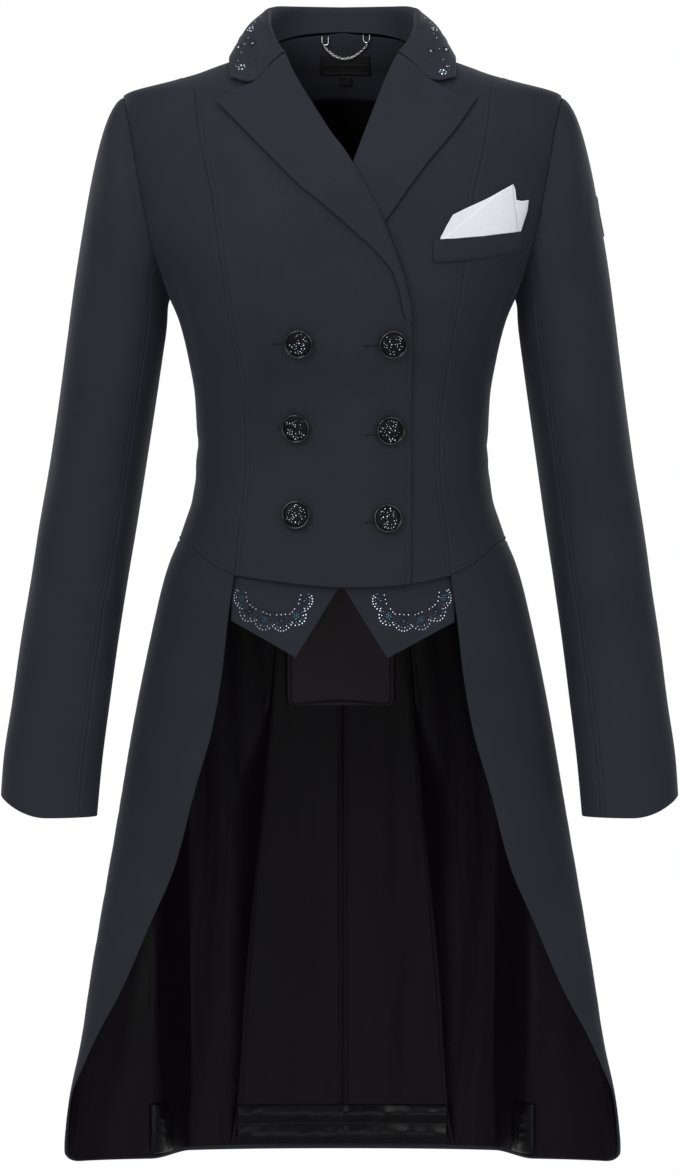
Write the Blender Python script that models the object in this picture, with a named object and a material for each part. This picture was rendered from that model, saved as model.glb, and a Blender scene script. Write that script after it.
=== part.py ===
"""Women's double-breasted tailcoat, filled out and hollow, as it hangs on a general figure.

Frame: +Z up, the front faces -Y, +X is the wearer's left. The origin is the middle of the
shoulder line, level with the points where the shoulder seams meet the neck. Metres.

The bodice and tails follow one smooth surface, body(phi, z): a ring at each height, with
half-width A, front depth F and back depth B. phi is 0 at the centre front, 90 degrees at the
wearer's left side and 180 degrees at the centre back. Every panel is a patch of that surface
between its seams, given a thickness; what lies on a panel is made from the same surface, moved out.
"""
import bpy
import math
import numpy as np

for ob in list(bpy.data.objects):
    bpy.data.objects.remove(ob, do_unlink=True)

# ------------------------------------------------------------------ driving sizes
WALL = 0.0016            # outer cloth
LINING = 0.0010          # lining satin
LAYER_GAP = 0.0012       # air between the cloth and its lining
SEAM = 0.00018           # each side of a seam stands back this far
SHOULDER_HALF = 0.1925   # centre to the sleeve seam
CHEST_ROW_Z = -0.2161    # height of the underarm
FRONT_EDGE_RIGHT = 0.0586    # overlap edge, on the wearer's left of centre
FRONT_EDGE_LEFT = -0.0426    # underlap edge, hidden
FRONT_HEM_Z = -0.4680
HEM_Z = -0.9755
BUTTON_D = 0.0250
BADGE_W, BADGE_H = 0.020, 0.036
SLEEVE_SWAY = -0.0026    # the cuffs hang this far to the wearer's right of true

# ring table: height, half-width, front depth, back depth, squareness in front and behind
RINGS = [  # z,      a,      f,     b,     nf,   nb
    ( 0.0300, 0.0680, 0.040, 0.0600, 2.2, 2.1),
    ( 0.0180, 0.0715, 0.041, 0.0625, 2.2, 2.1),
    ( 0.0080, 0.0755, 0.043, 0.0655, 2.2, 2.1),
    (-0.0020, 0.0830, 0.047, 0.0695, 2.2, 2.15),
    (-0.0062, 0.0975, 0.049, 0.0715, 2.2, 2.2),
    (-0.0120, 0.1140, 0.052, 0.0735, 2.25, 2.2),
    (-0.0176, 0.1290, 0.0545, 0.0755, 2.3, 2.25),
    (-0.0229, 0.1480, 0.057, 0.0775, 2.35, 2.3),
    (-0.0370, 0.1925, 0.0645, 0.0825, 2.45, 2.4),
    (-0.0500, 0.1945, 0.0715, 0.0865, 2.5, 2.45),
    (-0.0700, 0.1940, 0.0825, 0.0920, 2.6, 2.5),
    (-0.1000, 0.1910, 0.0975, 0.1000, 2.75, 2.55),
    (-0.1420, 0.1840, 0.1130, 0.1080, 2.8, 2.6),
    (-0.1700, 0.1760, 0.1205, 0.1120, 2.8, 2.6),
    (-0.1950, 0.1616, 0.1255, 0.1140, 2.8, 2.5),
    (-0.2161, 0.1512, 0.1275, 0.1135, 2.75, 2.4),
    (-0.2332, 0.1439, 0.1270, 0.1110, 2.7, 2.35),
    (-0.2684, 0.1351, 0.1205, 0.1040, 2.5, 2.3),
    (-0.3036, 0.1294, 0.1095, 0.0970, 2.35, 2.3),
    (-0.3388, 0.1280, 0.1015, 0.0930, 2.3, 2.3),
    (-0.3740, 0.1298, 0.0985, 0.0925, 2.3, 2.3),
    (-0.3916, 0.1320, 0.0980, 0.0935, 2.3, 2.3),
    (-0.4092, 0.1377, 0.0985, 0.0960, 2.3, 2.3),
    (-0.4268, 0.1439, 0.0995, 0.0995, 2.3, 2.3),
    (-0.4444, 0.1514, 0.1005, 0.1030, 2.3, 2.3),
    (-0.4620, 0.1571, 0.1015, 0.1070, 2.3, 2.3),
    (-0.4972, 0.1654, 0.0990, 0.1140, 2.3, 2.3),
    (-0.5500, 0.1760, 0.0880, 0.1210, 2.3, 2.3),
    (-0.6028, 0.1857, 0.0780, 0.1250, 2.3, 2.3),
    (-0.6556, 0.1949, 0.0705, 0.1270, 2.3, 2.3),
    (-0.7084, 0.2042, 0.0660, 0.1280, 2.3, 2.3),
    (-0.7612, 0.2134, 0.0625, 0.1285, 2.3, 2.3),
    (-0.8140, 0.2222, 0.0600, 0.1285, 2.3, 2.3),
    (-0.8668, 0.2301, 0.0580, 0.1280, 2.3, 2.3),
    (-0.9196, 0.2407, 0.0560, 0.1270, 2.3, 2.3),
    (-0.9800, 0.2475, 0.0540, 0.1250, 2.3, 2.3),
]
# where each tail swings forward beside the back: the cloth steps from the back's depth to the
# side's between these half-widths, more and more towards the hem
FLUTE_X0, FLUTE_X1 = 0.138, 0.170
FLUTE_KEEP = 0.40        # share of the back depth that the side keeps at the hem
FLUTE_TOP_Z, FLUTE_FULL_Z = -0.58, -0.88


def pchip(table, col):
    """Monotone cubic through (column 0, column col) of a table; constant slope outside."""
    rows = sorted(table, key=lambda r: r[0])
    x = np.array([r[0] for r in rows], float)
    y = np.array([r[col] for r in rows], float)
    h = np.diff(x)
    d = np.diff(y) / h
    m = np.zeros(len(x))
    for i in range(1, len(x) - 1):
        if d[i - 1] * d[i] > 0:
            w1, w2 = 2 * h[i] + h[i - 1], h[i] + 2 * h[i - 1]
            m[i] = (w1 + w2) / (w1 / d[i - 1] + w2 / d[i])
    m[0], m[-1] = d[0], d[-1]

    def f(v):
        v = min(max(float(v), x[0]), x[-1])
        i = int(min(max(np.searchsorted(x, v) - 1, 0), len(h) - 1))
        t = (v - x[i]) / h[i]
        a, b = y[i], y[i + 1]
        return ((2 * t**3 - 3 * t**2 + 1) * a + (t**3 - 2 * t**2 + t) * h[i] * m[i]
                + (-2 * t**3 + 3 * t**2) * b + (t**3 - t**2) * h[i] * m[i + 1])
    return f


ringA, ringF, ringB, ringNF, ringNB = [pchip(RINGS, c) for c in range(1, 6)]


def smooth(e0, e1, v):
    t = min(max((v - e0) / (e1 - e0), 0.0), 1.0)
    return t * t * (3 - 2 * t)


def flute(x, y, z):
    if y <= 0:
        return y
    amount = smooth(FLUTE_TOP_Z, FLUTE_FULL_Z, z) * smooth(FLUTE_X0, FLUTE_X1, abs(x))
    return y * (1 - (1 - FLUTE_KEEP) * amount)


def body(phi, z):
    """Outer face of the coat. phi in degrees, may be negative for the wearer's right."""
    p = math.radians(phi)
    s, c = math.sin(p), -math.cos(p)
    a = ringA(z)
    d, n = (ringF(z), ringNF(z)) if c < 0 else (ringB(z), ringNB(z))
    r = ((abs(s) / a) ** n + (abs(c) / d) ** n) ** (-1.0 / n)
    x, y = r * s, r * c
    return np.array([x, flute(x, y, z), z])


def normal(phi, z):
    e = 0.4
    dz = 0.0012
    u = body(phi + e, z) - body(phi - e, z)
    v = body(phi, z + dz) - body(phi, z - dz)
    n = np.cross(u, v)
    return n / np.linalg.norm(n)


def phi_of(x, z, back=False):
    """The angle where the ring at z has half-width x, in front or behind."""
    a = ringA(z)
    d, n = (ringB(z), ringNB(z)) if back else (ringF(z), ringNF(z))
    k = min(abs(x) / a, 1.0)
    y = d * (1 - k ** n) ** (1.0 / n) if k < 1 else 0.0
    p = math.degrees(math.atan2(abs(x), -y if back else y))
    return math.copysign(p, x) if x != 0 else (180.0 if back else 0.0)


# ------------------------------------------------------------------ seams, as (phi, z) samples
N_SIDE, N_ARM, N_TAIL = 6, 9, 9          # rows: waist to underarm, underarm to shoulder, tails
K_FRONT, K_SIDEFRONT, K_SIDEBACK, K_NECK, K_SHOULDER = 6, 4, 5, 5, 1

PRINCESS_TOP_Z = -0.0185
NECK_POINT_Z = -0.0020
FRONT_PRINCESS = [  # z, x
    (-0.0185, 0.1307), (-0.0489, 0.1282), (-0.0862, 0.1230), (-0.1282, 0.1137), (-0.1651, 0.1086),
    (-0.2196, 0.1016), (-0.2548, 0.0956), (-0.2929, 0.0888), (-0.3213, 0.0853), (-0.3600, 0.0845),
    (-0.3989, 0.0878), (-0.4275, 0.0915), (-0.4580, 0.0940)]
BACK_PRINCESS = [  # z, x
    (-0.0185, 0.1307), (-0.0500, 0.1230), (-0.1000, 0.1130), (-0.1500, 0.1015), (-0.2000, 0.0870),
    (-0.2500, 0.0720), (-0.3000, 0.0610), (-0.3400, 0.0560), (-0.3800, 0.0550), (-0.4180, 0.0560),
    (-0.4600, 0.0565), (-0.5000, 0.0585), (-0.5267, 0.0610), (-0.5918, 0.0664), (-0.6700, 0.0736),
    (-0.7650, 0.0830), (-0.8360, 0.0890), (-0.9160, 0.0940), (-0.9500, 0.0975), (-0.9755, 0.1030)]
ARMHOLE = [  # z, x in front, x behind
    (-0.0370, 0.1925, 0.1925), (-0.0520, 0.1897, 0.1910), (-0.0720, 0.1853, 0.1880),
    (-0.1020, 0.1800, 0.1840), (-0.1220, 0.1760, 0.1808), (-0.1420, 0.1724, 0.1775),
    (-0.1690, 0.1668, 0.1705), (-0.1950, 0.1585, 0.1597), (-0.2161, 0.1512, 0.1512)]
WAIST_SEAM = [  # phi, z  (from the front princess seam round to the back one)
    (46.0, -0.4580), (52.5, -0.4525), (60.0, -0.4430), (68.0, -0.4330), (76.0, -0.4285),
    (90.0, -0.4265), (110.0, -0.4235), (130.0, -0.4205), (152.0, -0.4180)]
TAIL_EDGE = [  # z, x of the free front edge of the tail
    (-0.4580, 0.0940), (-0.4941, 0.0990), (-0.5417, 0.1044), (-0.5905, 0.1129), (-0.6455, 0.1286),
    (-0.7122, 0.1462), (-0.7624, 0.1677), (-0.8203, 0.1932), (-0.8641, 0.2171), (-0.9080, 0.2371)]
TAIL_CORNER = [  # phi, z  (the rounded corner, the last row starts the hem)
    (89.5, -0.9360), (91.5, -0.9560), (94.5, -0.9680)]
ROLL_RIGHT = [  # z, x of the fold of the lapel on the wearer's right, then the front edge
    (-0.0054, -0.0510), (-0.0178, -0.0458), (-0.0654, -0.0186), (-0.1091, 0.0081),
    (-0.1203, 0.0142), (-0.1504, 0.0300), (-0.1659, 0.0364), (-0.1891, 0.0456),
    (-0.2115, 0.0524), (-0.2481, 0.0577), (-0.3000, 0.0586), (-0.4680, 0.0586)]
ROLL_LEFT = [  # z, x, the same on the wearer's left; it is hidden below the crossing
    (-0.0054, 0.0492), (-0.0178, 0.0431), (-0.0707, 0.0228), (-0.1091, 0.0081),
    (-0.1203, 0.0020), (-0.1504, -0.0139), (-0.1659, -0.0202), (-0.1891, -0.0294),
    (-0.2115, -0.0362), (-0.2481, -0.0417), (-0.3000, -0.0426), (-0.4680, -0.0426)]
FRONT_HEM = [  # x, z
    (-0.0940, -0.4580), (-0.0642, -0.4625), (-0.0300, -0.4665), (0.0, -0.4685), (0.0300, -0.4680),
    (0.0586, -0.4655), (0.0940, -0.4580)]

frontPrincess, backPrincess = pchip(FRONT_PRINCESS, 1), pchip(BACK_PRINCESS, 1)
armFront, armBack = pchip(ARMHOLE, 1), pchip(ARMHOLE, 2)
waistZ = pchip(WAIST_SEAM, 1)
tailEdge = pchip(TAIL_EDGE, 1)
rollX = {1: pchip(ROLL_LEFT, 1), -1: pchip(ROLL_RIGHT, 1)}
frontHemZ = pchip(FRONT_HEM, 1)


def lerp(a, b, n):
    return [a + (b - a) * i / n for i in range(n + 1)]


def crowd(a, b, n, power=1.32):
    """Steps from a to b that get shorter towards b."""
    return [a + (b - a) * (1 - (1 - i / n) ** power) for i in range(n + 1)]


def seam_front_princess():
    zs = lerp(-0.4580, CHEST_ROW_Z, N_SIDE) + crowd(CHEST_ROW_Z, PRINCESS_TOP_Z, N_ARM)[1:]
    return [(phi_of(frontPrincess(z), z), z) for z in zs[:-1]] + [(90.0, PRINCESS_TOP_Z)]


def seam_back_princess():
    zs = lerp(-0.4180, CHEST_ROW_Z, N_SIDE) + crowd(CHEST_ROW_Z, PRINCESS_TOP_Z, N_ARM)[1:]
    return [(phi_of(backPrincess(z), z, True), z) for z in zs[:-1]] + [(90.0, PRINCESS_TOP_Z)]


def seam_back_princess_tail():
    zs = lerp(HEM_Z, -0.4180, N_TAIL)
    return [(phi_of(backPrincess(z), z, True), z) for z in zs]


def seam_side():
    return [(90.0, z) for z in lerp(-0.4265, CHEST_ROW_Z, N_SIDE)]


def seam_armhole(back):
    """From the underarm up to the shoulder point."""
    f = armBack if back else armFront
    out = []
    for k in range(N_ARM + 1):
        t = k / N_ARM
        z = CHEST_ROW_Z + (-0.0370 - CHEST_ROW_Z) * (1 - math.cos(math.pi * t)) / 2 * 0.45 \
            + (-0.0370 - CHEST_ROW_Z) * t * 0.55
        out.append((phi_of(f(z), z, back) if 0 < k < N_ARM else 90.0, z))
    return out


def seam_waist():
    front, side, back = phi_of(0.0940, -0.4580), 90.0, phi_of(0.0560, -0.4180, True)
    ps = lerp(front, side, K_SIDEFRONT) + lerp(side, back, K_SIDEBACK)[1:]
    zs = [waistZ(46.0 + (p - front) * (90 - 46.0) / (90 - front)) if p < 90 else
          waistZ(90 + (p - 90) * (152 - 90) / (back - 90)) for p in ps]
    zs[0], zs[-1] = -0.4580, -0.4180
    return list(zip(ps, zs))


def coons(bottom, top, left, right):
    """Transfinite patch in (phi, z). bottom/top run left to right, left/right bottom to top."""
    B, T, L, R = [np.array(e, float) for e in (bottom, top, left, right)]
    nc, nr = len(B) - 1, len(L) - 1
    G = np.zeros((nr + 1, nc + 1, 2))
    for j in range(nr + 1):
        v = j / nr
        for i in range(nc + 1):
            u = i / nc
            G[j, i] = ((1 - v) * B[i] + v * T[i] + (1 - u) * L[j] + u * R[j]
                       - (1 - u) * (1 - v) * B[0] - u * (1 - v) * B[-1]
                       - (1 - u) * v * T[0] - u * v * T[-1])
    return G


# ------------------------------------------------------------------ mesh helpers
MATERIALS = {  # name: colour, roughness, metallic
    "shell cloth": ((0.022, 0.022, 0.032), 0.85, 0.0),
    "lapel cloth": ((0.026, 0.026, 0.036), 0.80, 0.0),
    "lining satin": ((0.012, 0.009, 0.014), 0.35, 0.0),
    "inner flap cloth": ((0.020, 0.016, 0.022), 0.50, 0.0),
    "casing satin": ((0.018, 0.014, 0.022), 0.25, 0.0),
    "white cloth": ((0.85, 0.85, 0.86), 0.75, 0.0),
    "label tape": ((0.006, 0.006, 0.007), 0.60, 0.0),
    "button": ((0.010, 0.010, 0.012), 0.15, 0.0),
    "chain metal": ((0.42, 0.42, 0.45), 0.28, 1.0),
    "badge rubber": ((0.015, 0.015, 0.018), 0.45, 0.0),
}
_mats = {}


def material(name, node):
    """A material of its own for each node, from the named finish."""
    rgb, rough, metal = MATERIALS[name]
    m = bpy.data.materials.new(node + " " + name)
    m.use_nodes = True
    b = m.node_tree.nodes["Principled BSDF"]
    b.inputs["Base Color"].default_value = (*rgb, 1)
    b.inputs["Roughness"].default_value = rough
    b.inputs["Metallic"].default_value = metal
    m.diffuse_color = (*rgb, 1)
    return m


def volume(V, F):
    v = 0.0
    for f in F:
        a = V[f[0]]
        for k in range(1, len(f) - 1):
            v += np.dot(a, np.cross(V[f[k]], V[f[k + 1]]))
    return v / 6


def add(node, V, F, finish):
    V = [np.asarray(p, float) for p in V]
    if volume(V, F) < 0:
        F = [tuple(reversed(f)) for f in F]
    me = bpy.data.meshes.new(node)
    me.from_pydata([tuple(p) for p in V], [], F)
    me.validate()
    me.update()
    me.shade_smooth()
    me.set_sharp_from_angle(angle=math.radians(40))
    ob = bpy.data.objects.new(node, me)
    bpy.context.scene.collection.objects.link(ob)
    ob.data.materials.append(material(finish, node))
    return ob


def inset(P, sides, by=SEAM):
    """Move the edge points of a grid of points inwards, square to the edge. sides: b t l r."""
    Q = P.copy()
    nr, nc = P.shape[0] - 1, P.shape[1] - 1

    def push(j, i, inner, along0, along1):
        t = along1 - along0
        t /= max(np.linalg.norm(t), 1e-9)
        d = inner - P[j, i]
        d = d - t * np.dot(d, t)
        Q[j, i] += d / max(np.linalg.norm(d), 1e-9) * by
    for j in range(nr + 1):
        a, b = max(j - 1, 0), min(j + 1, nr)
        if "l" in sides:
            push(j, 0, P[j, 1], P[a, 0], P[b, 0])
        if "r" in sides:
            push(j, nc, P[j, nc - 1], P[a, nc], P[b, nc])
    for i in range(nc + 1):
        a, b = max(i - 1, 0), min(i + 1, nc)
        if "b" in sides:
            push(0, i, P[1, i], P[0, a], P[0, b])
        if "t" in sides:
            push(nr, i, P[nr - 1, i], P[nr, a], P[nr, b])
    return Q


def wall(node, outer, inner, finish):
    """A closed wall between two grids of points."""
    nr, nc = outer.shape[0], outer.shape[1]
    V = [outer[j, i] for j in range(nr) for i in range(nc)] + \
        [inner[j, i] for j in range(nr) for i in range(nc)]
    n = nr * nc

    def o(j, i):
        return j * nc + i
    F = []
    for j in range(nr - 1):
        for i in range(nc - 1):
            q = (o(j, i), o(j, i + 1), o(j + 1, i + 1), o(j + 1, i))
            # the shorter diagonal
            if np.linalg.norm(outer[j, i] - outer[j + 1, i + 1]) <= \
               np.linalg.norm(outer[j, i + 1] - outer[j + 1, i]):
                F += [(q[0], q[1], q[2]), (q[0], q[2], q[3])]
                F += [(n + q[0], n + q[2], n + q[1]), (n + q[0], n + q[3], n + q[2])]
            else:
                F += [(q[0], q[1], q[3]), (q[1], q[2], q[3])]
                F += [(n + q[0], n + q[3], n + q[1]), (n + q[1], n + q[3], n + q[2])]
    ring = [(0, i) for i in range(nc - 1)] + [(j, nc - 1) for j in range(nr - 1)] + \
           [(nr - 1, i) for i in range(nc - 1, 0, -1)] + [(j, 0) for j in range(nr - 1, 0, -1)]
    for k in range(len(ring)):
        a, b = o(*ring[k]), o(*ring[(k + 1) % len(ring)])
        F.append((b, a, n + a))
        F.append((b, n + a, n + b))
    return add(node, V, F, finish)


def place(G, side, h):
    """Points of a (phi, z) grid on the body, moved out by h(x, z) along the normal."""
    P = np.zeros(G.shape[:2] + (3,))
    for j in range(G.shape[0]):
        for i in range(G.shape[1]):
            phi, z = G[j, i]
            p, n = body(phi, z), normal(phi, z)
            if side < 0:
                p, n = p * (-1, 1, 1), n * (-1, 1, 1)
            k = h(p[0], p[2]) if callable(h) else h
            P[j, i] = p + n * k
    return P


def panel(node, G, side, finish, top=0.0, thick=WALL, edges="btlr", by=SEAM):
    hi = top if callable(top) else (lambda x, z: top)
    O = inset(place(G, side, hi), edges, by)
    I = inset(place(G, side, lambda x, z: hi(x, z) - thick), edges, by)
    return wall(node, O, I, finish)


# ------------------------------------------------------------------ bodice
SIDES = (("left", 1), ("right", -1))
fp, bp, bpt, ss = seam_front_princess(), seam_back_princess(), seam_back_princess_tail(), seam_side()
arm_f, arm_b, ws = seam_armhole(False), seam_armhole(True), seam_waist()

side_front = coons(ws[:K_SIDEFRONT + 1], [(90.0, z) for z in lerp(PRINCESS_TOP_Z, -0.0370, K_SIDEFRONT)],
                   fp, ss + arm_f[1:])
side_back = coons(ws[K_SIDEFRONT:], [(90.0, z) for z in lerp(-0.0370, PRINCESS_TOP_Z, K_SIDEBACK)],
                  ss + arm_b[1:], bp)
NECKLINE = [(90.0, -0.0020), (110.0, 0.0085), (135.0, 0.0190), (180.0, 0.0260)]  # phi, z behind
necklineZ = pchip(NECKLINE, 1)
cb = [(180.0, z) for z in lerp(HEM_Z, -0.4180, N_TAIL) + lerp(-0.4180, CHEST_ROW_Z, N_SIDE)[1:]
      + crowd(CHEST_ROW_Z, 0.0260, N_ARM)[1:]]
hem_back = [(p, HEM_Z) for p in lerp(bpt[0][0], 180.0, K_NECK + K_SHOULDER)]
neck_top = [(90.0, z) for z in lerp(PRINCESS_TOP_Z, NECK_POINT_Z, K_SHOULDER)] + \
           [(p, necklineZ(p)) for p in lerp(90.0, 180.0, K_NECK)][1:]
back = coons(hem_back, neck_top, bpt + bp[1:], cb)


def tail_edge_samples():
    zs = lerp(-0.9080, -0.4580, N_TAIL - 2)
    edge = [(phi_of(tailEdge(z), z), z) for z in zs]
    return [(TAIL_CORNER[2][0], TAIL_CORNER[2][1]), (TAIL_CORNER[0][0], TAIL_CORNER[0][1])] + edge


# hem stations of the tail, by half-width, close together where the cloth steps
HEM_STATIONS = [0.2330, 0.2080, 0.1760, 0.1650, 0.1560, 0.1480, 0.1390, 0.1220]
hem_tail = [tail_edge_samples()[0]] + [(phi_of(x, HEM_Z, True), HEM_Z) for x in HEM_STATIONS] + [bpt[0]]
assert len(hem_tail) == K_SIDEFRONT + K_SIDEBACK + 1
skirt = coons(hem_tail, ws, tail_edge_samples(), bpt)
FIRST_STRAIGHT = 3                        # from this column on, the grid runs straight down


def straighten(G):
    """Below the hip the columns of the tail keep their half-width, so its folds run straight."""
    for j in range(1, G.shape[0]):
        for i in range(FIRST_STRAIGHT, G.shape[1] - 1):
            z = G[j, i, 1]
            w = smooth(-0.555, -0.68, z)
            x = HEM_STATIONS[i - 1]
            if w > 0:
                G[j, i, 0] = (1 - w) * G[j, i, 0] + w * phi_of(x, z, True)
        for i in range(1, FIRST_STRAIGHT):
            z = G[j, i, 1]
            w = smooth(-0.555, -0.68, z)
            even = G[j, 0, 0] + (G[j, FIRST_STRAIGHT, 0] - G[j, 0, 0]) * i / FIRST_STRAIGHT
            G[j, i, 0] = (1 - w) * G[j, i, 0] + w * even
    return G


skirt = straighten(skirt)


def front_grid(side):
    """Front panel of one side: x in the wearer's-left sense times side; phi may be negative."""
    f = rollX[side]

    def ph(x, z):
        return phi_of(x * side, z)
    zs = lerp(CHEST_ROW_Z, -0.0054, N_ARM - 2)
    low_x = FRONT_EDGE_LEFT if side > 0 else FRONT_EDGE_RIGHT
    z0 = frontHemZ(low_x)
    left = [(ph(f(z), z), z) for z in lerp(z0, CHEST_ROW_Z, N_SIDE)]
    left += [(ph(f(z), z), z) for z in zs[1:]]
    e = left[-1]
    left += [((e[0] + 90) / 2, -0.0040), (90.0, NECK_POINT_Z)]
    x_end = 0.0940 * side
    bottom = [(ph(x, frontHemZ(x)), frontHemZ(x)) for x in lerp(low_x, x_end, K_FRONT)]
    bottom[0], bottom[-1] = left[0], fp[0]
    top = [(90.0, z) for z in lerp(NECK_POINT_Z, PRINCESS_TOP_Z, K_FRONT)]
    return coons(bottom, top, left, fp)


LIFT_FRONT, LIFT_LAPEL = 0.0028, 0.0036


def lift(x, z):
    """How far the overlapping front stands out over the underlap and its lapel."""
    edge = rollX[1](z)
    s = smooth(edge - 0.034, edge - 0.010, x)
    return s * (LIFT_FRONT + LIFT_LAPEL * smooth(-0.300, -0.262, z))


panel("front_left", front_grid(1), 1, "shell cloth")
panel("front_right", front_grid(-1), -1, "shell cloth", top=lift)
for name, s in SIDES:
    panel("side_front_" + name, side_front, s, "shell cloth")
    panel("side_back_" + name, side_back, s, "shell cloth")
    panel("back_" + name, back, s, "shell cloth")
    panel("skirt_" + name, skirt, s, "shell cloth")

# ------------------------------------------------------------------ lapels
NOTCH = {1: (0.0787, -0.0308), -1: (-0.0785, -0.0322)}      # x, z of the inner end of the notch
LAPEL_TOP = {1: [(0.0961, -0.0401), (0.1170, -0.0435)], -1: [(-0.0965, -0.0385), (-0.1092, -0.0480)]}
LAPEL_EDGE = {  # z, x from the peak down
    1: [(-0.0435, 0.1170), (-0.0693, 0.1003), (-0.1068, 0.0706), (-0.1551, 0.0364), (-0.2050, -0.0020),
        (-0.2430, -0.0330)],
    -1: [(-0.0480, -0.1092), (-0.0835, -0.0758), (-0.1300, -0.0305), (-0.1620, 0.0053),
         (-0.1827, 0.0278), (-0.2027, 0.0432), (-0.2430, 0.0530)]}
LAPEL_ROWS, LAPEL_COLS = 11, 5
COLLAR_END = {}


def lapel_grid(side):
    f, e = rollX[side], pchip(LAPEL_EDGE[side], 1)

    def ph(x, z):
        return phi_of(x * side, z)
    zr = lerp(-0.2440, -0.0054, LAPEL_ROWS)
    roll = [(ph(f(z), z), z) for z in zr]
    z_peak = LAPEL_EDGE[side][0][0]
    ze = lerp(-0.2430, z_peak, LAPEL_ROWS)
    edge = [(ph(e(z), z), z) for z in ze]
    n, tops = NOTCH[side], LAPEL_TOP[side]
    r = roll[-1]
    rx = f(-0.0054)
    tops_xz = [(rx, -0.0054), (rx + (n[0] - rx) * 0.33, -0.0054 + (n[1] + 0.0054) * 0.30),
               (rx + (n[0] - rx) * 0.66, -0.0054 + (n[1] + 0.0054) * 0.64), n, tops[0], tops[1]]
    top = [(ph(x, z), z) for x, z in tops_xz]
    top[0] = r
    bottom = [tuple(np.array(roll[0]) + (np.array(edge[0]) - np.array(roll[0])) * i / LAPEL_COLS)
              for i in range(LAPEL_COLS + 1)]
    edge[-1] = top[-1]
    return coons(bottom, top, roll, edge)


LAPEL_T = 0.0018


def lapel_wall(name, side):
    G = lapel_grid(side)
    base = lift if side < 0 else (lambda x, z: 0.0)
    nr, nc = G.shape[:2]
    O, I = np.zeros((nr, nc, 3)), np.zeros((nr, nc, 3))
    for j in range(nr):
        for i in range(nc):
            phi, z = G[j, i]
            p, n = body(phi, z), normal(phi, z)
            if side < 0:
                p, n = p * (-1, 1, 1), n * (-1, 1, 1)
            u = i / (nc - 1)
            low = smooth(0, 3, j)                      # flatter at its lower end
            swell = 0.0022 * low * (4 * u * (1 - u)) ** 0.5 * (1 - 0.6 * u)
            if side > 0:                               # flat where the other front covers it
                swell *= smooth(0.002, 0.030, p[0] - rollX[-1](z))
            h = base(p[0], p[2]) + 0.0010 + swell
            O[j, i], I[j, i] = p + n * (h + LAPEL_T), p + n * h
    wall("lapel_" + name, inset(O, "btlr"), inset(I, "btlr"), "lapel cloth")
    return O


lapel_pts = {s: lapel_wall(nm, s) for nm, s in SIDES}

# ------------------------------------------------------------------ collar
# stations from the centre back to the front end: seam at the neck, top of the roll, free edge
COLLAR = [  # t,    nx,     ny,      nz,     rx,     ry,      rz,     ex,     ey,      ez
    (0.00, 0.0000, 0.0600, 0.0265, 0.0000, 0.0650, 0.0482, 0.0000, 0.0790, 0.0010),
    (0.20, 0.0310, 0.0530, 0.0240, 0.0330, 0.0580, 0.0480, 0.0420, 0.0710, 0.0000),
    (0.40, 0.0555, 0.0330, 0.0160, 0.0560, 0.0380, 0.0462, 0.0740, 0.0500, -0.0010),
    (0.58, 0.0655, 0.0080, 0.0080, 0.0668, 0.0130, 0.0400, 0.0930, 0.0210, -0.0005),
    (0.74, 0.0645, -0.0130, 0.0030, 0.0668, -0.0090, 0.0300, 0.0985, -0.0050, -0.0020),
    (0.88, 0.0590, -0.0290, 0.0010, 0.0610, -0.0290, 0.0135, 0.0992, -0.0272, -0.0083)]
COLLAR_T = 0.0020
COLLAR_HALF = 9


def collar_grid():
    cols = [pchip(COLLAR + [COLLAR_LAST], c) for c in range(1, 10)]
    return cols


def on_body(x, z, side, h):
    phi = phi_of(abs(x), z)
    p, n = body(phi, z), normal(phi, z)
    if side < 0:
        p, n = p * (-1, 1, 1), n * (-1, 1, 1)
    return p + n * h


def collar_section(v, side):
    """Seven points from the neck seam over the roll to the free edge; v 0 centre back, 1 end."""
    rx = abs(rollX[side](-0.0054))
    tip_x = 0.0978 if side > 0 else 0.0968
    tip = on_body(tip_x, -0.0275, 1, 0.0042)
    roll_end = on_body(rx, -0.0044, 1, 0.0034)
    seam_end = on_body(rx - 0.0015, -0.0030, 1, 0.0008)
    last = (1.00, *seam_end, *roll_end, *tip)
    c = [pchip(COLLAR + [last], k) for k in range(1, 10)]
    N, R, E = [np.array([c[3 * k + m](v) for m in range(3)]) for k in range(3)]
    notch = on_body(abs(NOTCH[side][0]), NOTCH[side][1] + 0.0010, 1, 0.0042)
    gap = np.linalg.norm(E - N)
    out = E - N
    out[2] = 0
    out = out / max(np.linalg.norm(out), 1e-9)
    stand = np.linalg.norm(R - N)
    k = min(stand / 0.02, 1.0)
    up = np.array([0, 0, 1.0])
    a = N * 0.5 + R * 0.5 - out * 0.0012 * k
    r0 = R - out * 0.0026 * k - up * 0.0026 * k
    r1 = R + out * 0.0034 * k - up * 0.0022 * k
    m1 = R + (E - R) * 0.36 + out * 0.0050 * k + up * 0.0035
    m2 = R + (E - R) * 0.70 + out * 0.0030 * k + up * 0.0018
    if v > 0.86:
        w = smooth(0.86, 1.0, v)
        m1 = m1 * (1 - w) + (roll_end * 0.52 + notch * 0.48) * w
        m2 = m2 * (1 - w) + notch * w
    pts = [N, a, r0, R, r1, m1, m2, E]
    pts = [p * (side, 1, 1) for p in pts]
    return pts


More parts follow.
